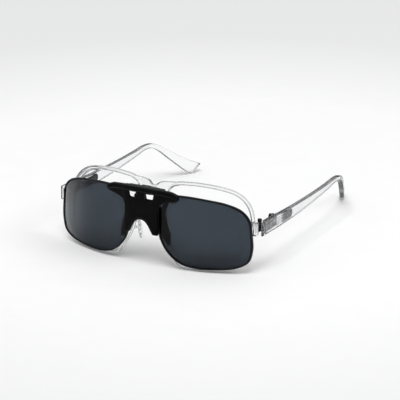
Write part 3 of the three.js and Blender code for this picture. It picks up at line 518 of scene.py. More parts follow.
def rest_on_table(piece):
    """Takes off what would sink into the table, which leaves the flat spot that a piece rests on"""
    carve(piece, block("table", (-TABLE_HALF, TABLE_FRONT, table_top - TABLE_THICKNESS),
                       (TABLE_HALF, TABLE_BACK, table_top)))


rest_on_table(front)

ROUND_WIDTH = 0.4
ROUND_BEND = math.radians(9)
LENGTHWISE = 0.75  # of a face's longest edge, past which an edge runs along the face
CLEAR_TINT = (0.955, 0.96, 0.965)
SLANTED_PAINTED_SHADE = (0.48, 0.495, 0.515)
SLANTED = (0.1, 0.8)
EDGE_ON_PAINTED_SHADE = (0.2, 0.206, 0.215)
EDGE_ON = (0.74, 0.96)
UPWARD = (0.6, 0.85)
FLOW_GRAIN = (160.0, 1.0)
FLOW_DEPTH = 0.0004
FLOW_STRENGTH = 0.05


def mark_rounds(piece):
    """Marks the narrow faces of the rounded edges, which bend the light away, in an attribute; grey
    painted shade is laid on these faces
    """
    shape = bmesh.new()
    shape.from_mesh(piece.data)
    rounds = shape.faces.layers.float.new("rounded_edge")
    for face in shape.faces:
        longest = max(edge.calc_length() for edge in face.edges)
        along = [edge for edge in face.edges if edge.calc_length() > LENGTHWISE * longest]
        bend = max(edge.calc_face_angle(0) for edge in along)
        narrow = face.calc_area() / longest < ROUND_WIDTH * MM
        face[rounds] = float(narrow and bend > ROUND_BEND)
    shape.to_mesh(piece.data)
    shape.free()


def clear_plastic(name, ior, lean=0.0):
    """Clear plastic with painted shade: greyer where it is seen edge on, for the light that its edges
    bend away; also gives this shaded tint and its upward faces
    """
    material, shader, at = new_material(name, Transmission_Weight=1.0, IOR=ior)
    turned = at.turned_away()
    # Painted shade: the colour turns grey as the surface turns away from the eye, for the dark lines
    # that bent light draws at clear edges
    body = (turned ** 2.0).ramp(*SLANTED).mix(CLEAR_TINT, SLANTED_PAINTED_SHADE)
    shaded_tint = turned.ramp(*EDGE_ON).mix(body, EDGE_ON_PAINTED_SHADE)
    direction = {0: at.normal(), 1: (0.0, math.sin(lean), math.cos(lean))}
    upward = at.node("ShaderNodeVectorMath", direction, "Value", operation="DOT_PRODUCT").ramp(*UPWARD)
    at.noise(*FLOW_GRAIN).bump(FLOW_STRENGTH, FLOW_DEPTH).feed(shader, "Normal")
    return material, shader, at, shaded_tint, upward


CRYSTAL_IOR = 1.49
# Painted shade on the crystal rims: upward faces and rounded edges are painted grey for the light they
# bend away, and this painted shade fades out towards the table
CRYSTAL_TOP_PAINTED_SHADE = (0.62, 0.63, 0.65)
CRYSTAL_EDGE_PAINTED_SHADE = (0.34, 0.348, 0.36)
CRYSTAL_EDGE_SHADE_SHARE = 0.8
CRYSTAL_LOW = (20.0, 34.0)  # heights that the rims get clearer between, towards the table
CRYSTAL_LOW_SHARE = 0.7
CRYSTAL_GRAIN = (420.0, 3.0)
CRYSTAL_CLOUD = (0.35, 0.75)
CRYSTAL_SHEEN = (0.015, 0.06)
crystal, crystal_shader, crystal_at, crystal_shaded_tint, crystal_top = clear_plastic(
    "crystal_plastic", CRYSTAL_IOR)
# Painted shade: grey on upward faces, darker grey on the rounded edges
crystal_top_shaded = crystal_top.mix(crystal_shaded_tint, CRYSTAL_TOP_PAINTED_SHADE)
rounded = crystal_at.node("ShaderNodeAttribute", output="Fac", attribute_name="rounded_edge")
crystal_edge_shaded = (rounded * CRYSTAL_EDGE_SHADE_SHARE).mix(crystal_top_shaded, CRYSTAL_EDGE_PAINTED_SHADE)
low_shade_fade = (crystal_at.part("Z") * TO_MM).ramp(*CRYSTAL_LOW, CRYSTAL_LOW_SHARE, 0.0)
low_shade_fade.mix(crystal_edge_shaded, CLEAR_TINT).feed(crystal_shader, "Base Color")
crystal_rough = crystal_at.noise(*CRYSTAL_GRAIN).ramp(*CRYSTAL_CLOUD, *CRYSTAL_SHEEN)
crystal_rough.feed(crystal_shader, "Roughness")
mark_rounds(front)
finish_piece(front, crystal, "frame", "clear_plastic", "front_frame")


# Clear lenses
# Thin lenses sprung into the rims' grooves. They are spherical shells with a bevelled edge, coated
# so well that they hardly reflect and only the line of the bevel shows.
LENS_FIT = 0.35
LENS_SLACK = 0.6  # of the fit, which a lens is thinner than its groove on each face
LENS_RINGS = (0.02, 0.2, 0.4, 0.6, 0.8, 0.93, 1.0)


def lens(name, outline, place, width, depth, reach, half, fit):
    """A curved lens whose bevelled edge lies in the groove of its rim"""
    spots, outward = outline
    centre = spots.mean(axis=0)
    middle = depth / 2
    face = half - fit * LENS_SLACK
    rows = [(share, width + fit, middle - face) for share in LENS_RINGS]
    rows += [(1.0, width - reach + fit, middle)]
    rows += [(share, width + fit, middle + face) for share in reversed(LENS_RINGS)]
    rings = []
    for share, inset, back_by in rows:
        flat = centre + (spots - outward * inset - centre) * share
        rings.append(place(flat[:, 0], flat[:, 1], np.full(len(flat), back_by)))
    return skin(name, rings)


def clouded(name, tints, tint_grain, sheen, sheen_grain, **constants):
    """A material whose colour and roughness each drift between two values, in clouds of a given grain"""
    material, shader, at = new_material(name, **constants)
    at.noise(*tint_grain).ramp(*CLOUD).mix(*tints).feed(shader, "Base Color")
    at.noise(*sheen_grain).ramp(*CLOUD, *sheen).feed(shader, "Roughness")
    return material, shader, at


def finish_pair(left, material, body, slot, node, crease=32):
    """Finishes a left piece and its mirror image; a body that has a side is given as name_{side}"""
    twin = mirror(left, left.name[:-1] + "r")
    for side, piece in (("left", left), ("right", twin)):
        finish_piece(piece, material, body.format(side=side), slot, f"{node}_{side}", crease=crease)


coated = clouded(
    "coated_lens", tints=((0.985, 0.99, 0.99), (0.995, 0.995, 0.995)), tint_grain=(40.0,),
    sheen=(0.005, 0.02), sheen_grain=(120.0,), Transmission_Weight=1.0, IOR=1.06)[0]
clear_lens = lens("clear_lens_l", rim_outline, on_front, *RIM_GROOVE, LENS_FIT)
finish_pair(clear_lens, coated, "frame", "clear_lens", "clear_lens")


# Nose pads
# Soft clear silicone ovals on the ends of the moulded arms, crowned towards the nose and splayed
# so that they lie along its sides.
PAD_SIZE = (PAD_THICKNESS, 7.2, 13.5)
PAD_SPLAY = math.radians(-22)
PAD_FLARE = math.radians(6)
PAD_NARROWING = 0.18
PAD_CREASE = 80
PAD_RINGS = 31
PAD_SEGMENTS = 48
ball = [(0, 0, 1), (0, 0, -1)]
for fall in np.linspace(0, math.pi, PAD_RINGS + 2)[1:-1]:
    for turn in np.linspace(0, 2 * math.pi, PAD_SEGMENTS, endpoint=False):
        ball.append((math.sin(fall) * math.cos(turn), math.sin(fall) * math.sin(turn), math.cos(fall)))
pad_turn = Matrix.Rotation(PAD_SPLAY, 4, "Z") @ Matrix.Rotation(PAD_FLARE, 4, "Y")
pad_points = []
for x, y, z in ball:
    fuller = 1.0 - PAD_NARROWING * max(z, 0) ** 2
    shaped = Vector((x * PAD_SIZE[0] / 2, y * fuller * PAD_SIZE[1] / 2, z * PAD_SIZE[2] / 2))
    pad_points.append(tuple(pad_turn @ shaped + Vector(PAD_CENTRE)))
pad_faces = []
for j in range(PAD_SEGMENTS):
    here = range(2 + j, len(ball), PAD_SEGMENTS)
    beside = range(2 + (j + 1) % PAD_SEGMENTS, len(ball), PAD_SEGMENTS)
    pad_faces += [(0, here[0], beside[0]), (here[-1], 1, beside[-1])]
    pad_faces += [(here[i], here[i + 1], beside[i + 1], beside[i]) for i in range(PAD_RINGS - 1)]
silicone = clouded(
    "clear_silicone", tints=((0.93, 0.94, 0.94), (0.97, 0.97, 0.965)), tint_grain=(300.0, 3.0),
    sheen=(0.18, 0.34), sheen_grain=(700.0, 3.0), Transmission_Weight=0.75, IOR=1.25)[0]
pad = to_object("silicone_pad_l", pad_points, pad_faces)
finish_pair(pad, silicone, "frame", "pad_silicone", "nose_pad", PAD_CREASE)


# Temples
# Clear blades milled from sheet: they taper to the ear, turn down and in, and end in a paddle with
# a slanted end. Pockets for the metal plates and four flutes are cut into the inner face.
HINGE_X = 65.9
HINGE_BEHIND = 2.8
HINGE_Y = LUG_BACK + HINGE_BEHIND
TEMPLE_GAP = 0.4
TEMPLE_INNER = LUG_OUTER + TEMPLE_GAP
TEMPLE_THICKNESS = 3.2
TEMPLE_MIDDLE = TEMPLE_INNER + TEMPLE_THICKNESS / 2
TEMPLE_ROUND = 0.7
TEMPLE_CORNER = 1.4  # round the outer front corner, where the steps are finer
TEMPLE_CORNER_SHARE = 0.035
TEMPLE_CORNER_STEPS = 10
TEMPLE_STEPS = 150
TEMPLE_FRONT_WIDTH = 1.5
TEMPLE_LIP = 1.3
TIP_SLANT = 1.9
TIP_STEPS = 4
# The path's rows are the place behind the hinge, the turn inwards, the height and the blade's own height
TEMPLE_PATH = [
    (-4.4, 0, 28.2, 8.5), (5, 0, 28, 8.5), (14, 0, 27.5, 8.3), (28, 0, 26.9, 7.5), (46, 0, 26.6, 6.6),
    (66, 0, 26.8, 5.2), (85, 0, 27.5, 4), (98, 0.2, 28.3, 3.1), (106, 1, 27.2, 3),
    (113, 2.7, 23.6, 3.7), (121, 5.5, 17.4, 5), (130, 9, 10.5, 6.7), (136.5, 11.8, 5.8, 8),
    (142, 14.2, 2.9, 8.4),
]
LEAF_SINK = 0.25
LEAF_THICKNESS = 1.1
LEAF_BEHIND = 1.6
LEAF_LENGTH = 13
LEAF_HEIGHT = 5.2
LEAF_END = HINGE_Y + LEAF_BEHIND + LEAF_LENGTH
SEAT = 0.3
FLUTE_COUNT = 4
FLUTE_PITCH = 1.7
FLUTE_RADIUS = 0.6
FLUTE_HEIGHT = 4.6
FLUTE_SIDES = 24
FLUTE_GAP = 1.2
FLUTE_START = LEAF_END + FLUTE_GAP
FLUTE_END = FLUTE_START + FLUTE_COUNT * FLUTE_PITCH
CORE_GAP = 0.6
CORE_START = FLUTE_END + CORE_GAP
CORE_LENGTH = 12.5
CORE_HEIGHT = 5.0
CORE_MIDDLE = 26.95
PLATE_LOBE = 1.9
PLATE_SCREW_RISE = 0.2
PLATE_SCREW = (LEAF_END - PLATE_LOBE, HINGE_HEIGHT + LEAF_HEIGHT / 2 + PLATE_SCREW_RISE)
BARREL_FRONT = 6
BARREL_BACK = 0.9
BARREL_LOW = 20
BARREL_HIGH = 36
CUT_CLEAR = 1  # how far a cutter stands out of the face that it cuts
CUTTER_SIDES = 48

rows = np.array(TEMPLE_PATH)
spine = np.column_stack([TEMPLE_MIDDLE - rows[:, 1], HINGE_Y + rows[:, 0], rows[:, 2]])
shares = np.concatenate([
    np.linspace(0, TEMPLE_CORNER_SHARE, TEMPLE_CORNER_STEPS)[:-1],
    np.linspace(TEMPLE_CORNER_SHARE, 1, TEMPLE_STEPS)])
middles = curve_at(spine, shares)
nudge = 1e-4
ahead = curve_at(spine, np.minimum(shares + nudge, 1)) - curve_at(spine, np.maximum(shares - nudge, 0))
ahead /= np.linalg.norm(ahead, axis=1)[:, None]
talls = curve_at(np.column_stack([np.arange(len(rows)), rows[:, 3]]), shares)[:, 1]
wide = TEMPLE_THICKNESS / 2
blade = []
for i, (middle, way, tall) in enumerate(zip(middles, ahead, talls)):
    across = np.cross(way, (0, 0, 1))
    across /= np.linalg.norm(across)
    rise = np.cross(across, way)
    half = tall / 2
    short = max(TEMPLE_CORNER - (middle[1] - middles[0][1]), 0)
    curved = wide - TEMPLE_CORNER + math.sqrt(TEMPLE_CORNER ** 2 - short ** 2)
    out = max(curved, TEMPLE_FRONT_WIDTH - wide)
    corners = ((out, -half), (out, half), (-wide, half), (-wide, -half))
    ring = soften([(*corner, TEMPLE_ROUND) for corner in corners], steps=5)
    slant = TIP_SLANT * max(1 - (len(middles) - 1 - i) / TIP_STEPS, 0)
    blade.append(middle + ring[:, :1] * across + ring[:, 1:] * rise + slant * (ring[:, 1:] / half) * way)
temple = skin("clear_temple_l", blade)

inside = TEMPLE_INNER - CUT_CLEAR
pocket = TEMPLE_INNER + LEAF_SINK + LEAF_THICKNESS + SEAT
leaf_low = HINGE_HEIGHT - LEAF_HEIGHT / 2 - SEAT
core_turn = CORE_START + CORE_LENGTH - CORE_HEIGHT / 2
core_half = CORE_HEIGHT / 2 + SEAT
lip_inner = TEMPLE_INNER + TEMPLE_THICKNESS - TEMPLE_LIP
carve(temple, block("leaf_room", (inside, HINGE_Y - CUT_CLEAR, leaf_low),
                    (pocket, LEAF_END + SEAT, leaf_low + LEAF_HEIGHT + 2 * SEAT)))
carve(temple, block("core_room", (inside, CORE_START - SEAT, CORE_MIDDLE - core_half),
                    (pocket, core_turn, CORE_MIDDLE + core_half)))
core_end = [(inside, core_turn, CORE_MIDDLE), (pocket, core_turn, CORE_MIDDLE)]
carve(temple, tube("core_end", core_end, core_half, CUTTER_SIDES))
carve(temple, block("barrel_room", (HINGE_X, HINGE_Y - BARREL_FRONT, BARREL_LOW),
                    (lip_inner, HINGE_Y + BARREL_BACK, BARREL_HIGH)))
lobe_room = [(inside, *PLATE_SCREW), (pocket, *PLATE_SCREW)]
carve(temple, tube("lobe_room", lobe_room, PLATE_LOBE + SEAT, CUTTER_SIDES))


class Tree:
    """A geometry tree that sets copies of one shape on points, with named sizes as its inputs"""

    def __init__(self, name, **sizes):
        self.group = bpy.data.node_groups.new(name, "GeometryNodeTree")
        self.sizes = sizes
        for way in ("OUTPUT", "INPUT"):
            self.group.interface.new_socket("Geometry", in_out=way, socket_type="NodeSocketGeometry")
        for size, value in sizes.items():
            kind = "NodeSocketInt" if isinstance(value, int) else "NodeSocketFloat"
            self.group.interface.new_socket(size, in_out="INPUT", socket_type=kind)
        self.given = self.group.nodes.new("NodeGroupInput").outputs

    def add(self, kind, inputs=None, output=0, **settings):
        """A node, its inputs given by name or number as sockets or values, one output handed back"""
        made = self.group.nodes.new(kind)
        for key, value in settings.items():
            setattr(made, key, value)
        for key, value in (inputs or {}).items():
            for one in value if isinstance(value, list) else [value]:
                if isinstance(one, bpy.types.NodeSocket):
                    self.group.links.new(one, made.inputs[key])
                else:
                    made.inputs[key].default_value = one
        return made.outputs[output]

    def math(self, operation, first, second=0.0):
        return self.add("ShaderNodeMath", {0: first, 1: second}, operation=operation)

    def vector(self, x=0.0, y=0.0, z=0.0):
        return self.add("ShaderNodeCombineXYZ", {0: x, 1: y, 2: z})

    def grow(self, points, shape, material, piece):
        """The copies on the points, as the plain mesh of the given object"""
        copies = self.add("GeometryNodeInstanceOnPoints", {"Points": points, "Instance": shape})
        solid = self.add("GeometryNodeRealizeInstances", {"Geometry": copies})
        dressed = self.add("GeometryNodeSetMaterial", {"Geometry": solid, "Material": material})
        last = self.group.nodes.new("NodeGroupOutput")
        self.group.links.new(dressed, last.inputs[0])
        step = piece.modifiers.new(self.group.name, "NODES")
        step.node_group = self.group
        for item in self.group.interface.items_tree:
            if item.in_out == "INPUT" and item.name in self.sizes:
                step[item.identifier] = self.sizes[item.name]
        return settle(piece)


def between(value, low, high, soft=0.05):
    """1 where a value in millimetres lies between two others, 0 outside"""
    return value.ramp(low - soft, low) * value.ramp(high, high + soft, 1.0, 0.0)


SHEET_IOR = 1.4
SHEET_LEAN = math.radians(32)
# Painted shade on the clear temples: upward faces, corners, the front and back of the drop and the
# flutes are painted grey to dark, for light that the clear sheet bends away
SHEET_TOP_PAINTED_SHADE = (0.3, 0.306, 0.318)
SHEET_ARRIS_PAINTED_SHADE = (0.09, 0.093, 0.1)
SHEET_SHEEN = 0.03
FLUTE_PAINTED_SHADE = 0.6
FLUTE_DEPTHS = (0.05, 0.8)  # below the inner face, between which a flute's own face lies
MILLED_DEPTH = 0.06  # below the inner face, where a pocket's own faces begin
MILLED_SPARE = 0.3
SWIRL_GRAIN = (480.0, 2.0, 0.6)
SWIRL_CLOUD = (0.42, 0.58)
SWIRL_SHEEN = (0.04, 0.55)
ARRIS = (0.5, 1.3)  # from the middle of the sheet, where its dark corner begins and is full
STRAIGHT_START = (46.0, 54.0)  # along the blade, where its top begins to be lighter between the corners
STRAIGHT_END = (75.0, 105.0)
DROP_START = (104.0, 110.0)  # along the blade, where it turns down and its front and back are its edges
DROP_FACING = (0.42, 0.56)
sheet, sheet_shader, sheet_at, sheet_shaded_tint, sheet_top = clear_plastic(
    "crystal_sheet", SHEET_IOR, SHEET_LEAN)
across_mm = abs(sheet_at.part("X")) * TO_MM
along_mm = sheet_at.part("Y") * TO_MM - ORIGIN[1] * TO_MM
drop_edge_shade = along_mm.ramp(*DROP_START) * abs(sheet_at.normal().part("Y")).ramp(*DROP_FACING)
straight = along_mm.ramp(*STRAIGHT_START) * along_mm.ramp(*STRAIGHT_END, 1.0, 0.0)
arris_shade = sheet_at.math("MAXIMUM", abs(across_mm - TEMPLE_MIDDLE).ramp(*ARRIS), 1.0 - straight)
in_flutes = between(across_mm, TEMPLE_INNER + FLUTE_DEPTHS[0], TEMPLE_INNER + FLUTE_DEPTHS[1])
flute_shade_mask = in_flutes * between(along_mm, FLUTE_START, FLUTE_END)
# Painted shade in the flutes and on the edges and top of the blade
broad_shaded_tint = (flute_shade_mask * FLUTE_PAINTED_SHADE).mix(sheet_shaded_tint, SHEET_TOP_PAINTED_SHADE)
edge_painted_shade = arris_shade.mix(SHEET_TOP_PAINTED_SHADE, SHEET_ARRIS_PAINTED_SHADE)
painted_edge_shade_mask = sheet_at.math("MAXIMUM", sheet_top, drop_edge_shade)
painted_edge_shade_mask.mix(broad_shaded_tint, edge_painted_shade).feed(sheet_shader, "Base Color")
in_pocket = between(across_mm, TEMPLE_INNER + MILLED_DEPTH, pocket + MILLED_SPARE)
milled = in_pocket * between(along_mm, HINGE_Y, LEAF_END + CUT_CLEAR)
swirl = sheet_at.noise(*SWIRL_GRAIN).ramp(*SWIRL_CLOUD, *SWIRL_SHEEN)
(milled * swirl + SHEET_SHEEN).feed(sheet_shader, "Roughness")

flutes = Tree(
    "flutes", Count=FLUTE_COUNT, Pitch=FLUTE_PITCH * MM, Radius=FLUTE_RADIUS * MM,
    Height=FLUTE_HEIGHT * MM)
first_flute = in_frame((TEMPLE_INNER, FLUTE_START + FLUTE_PITCH / 2, CORE_MIDDLE))
flute_run = flutes.add("GeometryNodeMeshLine", {
    "Count": flutes.given["Count"], "Offset": flutes.vector(y=flutes.given["Pitch"]),
    "Start Location": tuple(first_flute)})
flute_bar = flutes.add("GeometryNodeMeshCylinder", {
    "Vertices": FLUTE_SIDES, "Radius": flutes.given["Radius"], "Depth": flutes.given["Height"]})
carve(temple, flutes.grow(flute_run, flute_bar, sheet, to_object("flute_cutters", [(0, 0, 0)], [])))
rest_on_table(temple)
finish_pair(temple, sheet, "temple_{side}", "clear_plastic", "temple")


# Hinges and plates
# Dull grey nickel-plated steel, let into the temple: a leaf with one knuckle, and behind the flutes
# the flat end of the temple's core wire. The lug's leaf has two knuckles, and black screws hold all.
NICKEL_TINTS = ((0.012, 0.012, 0.014), (0.05, 0.05, 0.054))
NICKEL_SHEEN = (0.32, 0.55)
MOTTLE_GRAIN = (900.0, 5.0, 0.65)
MOTTLE_CLOUD = (0.32, 0.68)
MOTTLE_STRENGTH = 0.25
MOTTLE_DEPTH = 0.0001
nickel, nickel_shader, nickel_at = new_material("grey_nickel", Metallic=0.85)
mottle = nickel_at.noise(*MOTTLE_GRAIN)
mottle.ramp(*MOTTLE_CLOUD).mix(*NICKEL_TINTS).feed(nickel_shader, "Base Color")
mottle.ramp(*CLOUD, *NICKEL_SHEEN).feed(nickel_shader, "Roughness")
mottle.bump(MOTTLE_STRENGTH, MOTTLE_DEPTH).feed(nickel_shader, "Normal")

# Painted highlights: light patches in the leaf's colour behind the knuckle stand in for reflections on
# the metal
LEAF_HIGHLIGHT_TINTS = ((0.03, 0.03, 0.034), (0.55, 0.55, 0.57))
LEAF_SHEEN = (0.3, 0.5)
LEAF_HIGHLIGHT_GRAIN = (420.0, 4.0, 0.6)
LEAF_HIGHLIGHT_CLOUD = (0.46, 0.6)
KNUCKLE_END = (1.6, 2.4)  # behind the hinge's middle, where the leaf begins and its painted highlights show
highlit_nickel, highlit_shader, highlit_at = new_material("worn_nickel", Metallic=0.85)
highlight_patches = highlit_at.noise(*LEAF_HIGHLIGHT_GRAIN)
behind_hinge = (highlit_at.part("Y") - ORIGIN[1]) * TO_MM - HINGE_Y
painted_highlights = highlight_patches.ramp(*LEAF_HIGHLIGHT_CLOUD) * behind_hinge.ramp(*KNUCKLE_END)
painted_highlights.mix(*LEAF_HIGHLIGHT_TINTS).feed(highlit_shader, "Base Color")
highlight_patches.ramp(*CLOUD, *LEAF_SHEEN).feed(highlit_shader, "Roughness")

black_steel = clouded(
    "black_steel", tints=((0.008, 0.008, 0.009), (0.02, 0.02, 0.022)), tint_grain=(1500.0, 3.0),
    sheen=(0.3, 0.5), sheen_grain=(1200.0, 3.0), Metallic=0.3, Specular_IOR_Level=0.25)[0]

JOIN_DISTANCE = 1e-6
FLAT_BEND = math.radians(2)
SHARP_BEND = math.radians(40)
BROKEN_EDGE = 0.12
BROKEN_STEPS = 2


def rounded_copy(node, name, width=BROKEN_EDGE):
    """A node's own solid with its sharp edges broken, as a piece of the scene"""
    piece = into_scene(name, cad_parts[node].data.copy())
    shape = bmesh.new()
    shape.from_mesh(piece.data)
    bmesh.ops.remove_doubles(shape, verts=shape.verts, dist=JOIN_DISTANCE)
    bmesh.ops.dissolve_limit(shape, angle_limit=FLAT_BEND, verts=shape.verts, edges=shape.edges)
    shape.to_mesh(piece.data)
    shape.free()
    bevel = piece.modifiers.new("broken_edges", "BEVEL")
    bevel.width = width * MM
    bevel.segments = BROKEN_STEPS
    bevel.limit_method = "ANGLE"
    bevel.angle_limit = SHARP_BEND
    return settle(piece)


for side in ("left", "right"):
    for node, material, body, slot in (
        (f"hinge_front_leaf_{side}", black_steel, "frame", "black_screw"),
        (f"hinge_temple_leaf_{side}", highlit_nickel, f"temple_{side}", "grey_metal"),
        (f"temple_core_plate_{side}", nickel, f"temple_{side}", "grey_metal"),
        (f"hinge_screw_{side}", black_steel, "frame", "black_screw"),
        (f"hinge_plate_screw_{side}", black_steel, f"temple_{side}", "black_screw"),
    ):
        finish_piece(rounded_copy(node, f"{node}_piece"), material, body, slot, node)


# Sun lenses
# Smoke grey polarised sheet, cut to shape and bent round the clip's curve, with two rivet holes by
# the bridge. A thin satin black metal rim is drawn round each.
CLIP_CURVE = 150.0
SUN_OUTLINE = [
    (11.5, 42.6), (18, 46.7), (27, 47.3), (40, 46.2), (51, 44.3), (59.3, 40.6), (63.9, 34.6), (65.3, 25),
    (65.7, 15.5), (63.4, 7.7), (57, 4), (46, 2.4), (34, 2.1), (24, 4.2), (17.5, 8.6), (12.7, 15),
    (9.9, 24), (9.7, 35),
]
SUN_RIM_WIDTH = 0.95
SUN_RIM_DEPTH = 1.9
SUN_REACH = 0.4
SUN_HALF = 0.55
SUN_GROOVE = (SUN_RIM_WIDTH, SUN_RIM_DEPTH, SUN_REACH, SUN_HALF)
SUN_OUTER_ROUND = 0.4
SUN_INNER_ROUND = 0.2
SUN_FIT = 0.25
RIVETS = [(17.8, 44.0), (21.2, 44.7)]
RIVET_HOLE = 0.8
RIVET_HOLE_SIDES = 24
THROUGH = 8  # far enough to either side of the clip for a cutter to pass right through it


def clip_sag(u):
    """How far the clip's curve falls back at a distance from the middle"""
    return CLIP_CURVE - np.sqrt(CLIP_CURVE ** 2 - np.asarray(u, float) ** 2)


def on_clip(u, z, depth):
    """A place on the clip's upright curve: across, up and back from its face"""
    return np.stack([u, clip_sag(u) + depth, z], axis=-1)


lacquer = clouded(
    "black_lacquer", tints=((0.003, 0.003, 0.0033), (0.007, 0.007, 0.0075)), tint_grain=(2200.0, 4.0),
    sheen=(0.24, 0.42), sheen_grain=(1800.0, 3.0), Specular_IOR_Level=0.12)[0]
sun_outline = outline_of(SUN_OUTLINE, RIM_STEPS)
sun_section = grooved_section(*SUN_GROOVE, SUN_OUTER_ROUND, SUN_INNER_ROUND)
sun_rim = rim("black_rim_l", sun_outline, on_clip, sun_section)
finish_pair(sun_rim, lacquer, "clip", "black_wire", "sun_rim")

COAT_FACING = (0.34, 0.5)  # how far the lens is turned away where its coat begins to shine and is full
COAT_RISE = 2.4
smoke, smoke_shader, smoke_at = clouded(
    "smoke_lens", tints=((0.036, 0.047, 0.06), (0.042, 0.053, 0.067)), tint_grain=(25.0,),
    sheen=(0.03, 0.045), sheen_grain=(120.0,), Transmission_Weight=1.0, IOR=1.22, Coat_IOR=2.4,
    Coat_Roughness=0.24)
(smoke_at.turned_away().ramp(*COAT_FACING) ** COAT_RISE).feed(smoke_shader, "Coat Weight")
sun_lens = lens("smoke_lens_l", sun_outline, on_clip, *SUN_GROOVE, SUN_FIT)
for x, z in RIVETS:
    hole = [(x, -THROUGH, z), (x, THROUGH, z)]
    carve(sun_lens, tube("rivet_hole", hole, RIVET_HOLE, RIVET_HOLE_SIDES))
finish_pair(sun_lens, smoke, "clip", "smoke_lens", "sun_lens")


# Clip bridge
# One satin black moulding that carries both sun lenses: a ridged bar over the nose with wings out
# over the lenses, two windows, and a nose arch with a rounded bead round its edge.
BRIDGE_FRONT = -3.0
BRIDGE_BACK = -0.75
BAR_HALF = 24.0
BAR_TOP = 50.8
BAR_HEIGHT = 3.3
BAR_STEP = 0.65
BAR_DROP = 1.5
BAR_ROUND = 0.5
BAR_FOOT_RISE = 0.4
BAR_FOOT_ROUND = 0.2
BAR_BROW_DROP = 0.2
BAR_BROW_ROUND = 0.55
BACK_ROUND = 0.2
BAR_END_RUN = 4.6
BAR_END_DROP = 1.3
BAR_END_POWER = 1.3
LEG_HALF = 10.9
LEG_INNER = 8.2
LEG_BOTTOM = 21.2
LEG_EDGE = 0.25
LEG_STEPS = 24
LEG_LEAST = 0.2  # that the face below the bar is tall, beside its rounded lower edge
LEDGE_ROUND = 0.15
ARCH_TOP = 30.0
ARCH_POWER = 2.4
ARCH_BEAD = 0.8
ARCH_BEAD_SINK = 0.1
ARCH_BEAD_PAST = 0.4
ARCH_POINTS = 13
ARCH_STEPS = 60
WING_FRONT = -2.4
WING_STEP = 0.4
WING_STEPS = 30
WING_BLEND = (LEG_HALF - 2, 6)  # where the wing's face begins to come back, and over what length
WING_LOWER = [(11.2, 38.4), (12.6, 41), (15.4, 42.3), (19.6, 43.5), (23.2, 44.1), (24, 44.6)]
RIDGES = 3
RIDGE_DEPTH = 0.35
RIDGE_TOP = 0.55  # of a ridge's run, its flat top
RIDGE_FOOT = 0.7  # of a ridge's run, where the groove behind it is deepest
RIDGE_ROUND = 0.08
RIDGE_FOOT_ROUND = 0.06
WINDOW = [(3.3, 43), (8.1, 43), (8.9, 47), (2.5, 47)]
WINDOW_ROUND = 0.35
FLIP_Y, FLIP_Z = FLIP_PIN[1:]
PIN_BORE = 0.9
BORE_SIDES = 32
BORE_HALF = 14
BARREL_HALF = 8.9
EAR_GAP = 0.3
EAR_INNER = BARREL_HALF + EAR_GAP
EAR_WIDTH = 2.8
EAR_RADIUS = 1.6
EAR_SIDES = 40
EAR_ROOT_HALF = 1.4
EAR_ROOT_BITE = 0.4
RIVET_BITE = 0.9


def bridge_lower(reach):
    """Height of the moulding's lower edge at a distance from the middle"""
    if reach <= LEG_INNER:
        return LEG_BOTTOM + (ARCH_TOP - LEG_BOTTOM) * (1 - (reach / LEG_INNER) ** ARCH_POWER)
    if reach <= LEG_HALF:
        return LEG_BOTTOM
    return float(np.interp(reach, *zip(*WING_LOWER)))


def bridge_section(x):
    """The moulding's outline at one place across"""
    reach = abs(x)
    into_end = max(reach - BAR_HALF + BAR_END_RUN, 0) / BAR_END_RUN
    top = BAR_TOP - BAR_DROP * (reach / BAR_HALF) ** 2 - BAR_END_DROP * into_end ** BAR_END_POWER
    low = bridge_lower(reach)
    t = min(max((reach - WING_BLEND[0]) / WING_BLEND[1], 0), 1)
    outward = t * t * (3 - 2 * t)
    front_face = BRIDGE_FRONT + (WING_FRONT - BRIDGE_FRONT) * outward
    bar_face = front_face - BAR_STEP - (WING_STEP - BAR_STEP) * outward
    bar_low = max(top - BAR_HEIGHT, low + BAR_ROUND + LEG_LEAST)
    run = (BRIDGE_BACK - bar_face - 2 * BAR_ROUND) / RIDGES
    corners = [(front_face, low, BAR_ROUND), (front_face, bar_low, LEDGE_ROUND)]
    corners += [(bar_face, bar_low + BAR_FOOT_RISE, BAR_FOOT_ROUND)]
    corners += [(bar_face, top - BAR_BROW_DROP, BAR_BROW_ROUND)]
    for i in range(RIDGES):
        y = bar_face + BAR_ROUND + i * run
        corners += [(y, top, RIDGE_ROUND), (y + run * RIDGE_TOP, top, RIDGE_ROUND)]
        corners += [(y + run * RIDGE_FOOT, top - RIDGE_DEPTH, RIDGE_FOOT_ROUND)]
    corners += [(BRIDGE_BACK, top, BACK_ROUND), (BRIDGE_BACK, low, BACK_ROUND)]
    ring = soften(corners, steps=3)
    return np.column_stack([np.full(len(ring), x), clip_sag(reach) + ring[:, 0], ring[:, 1]])


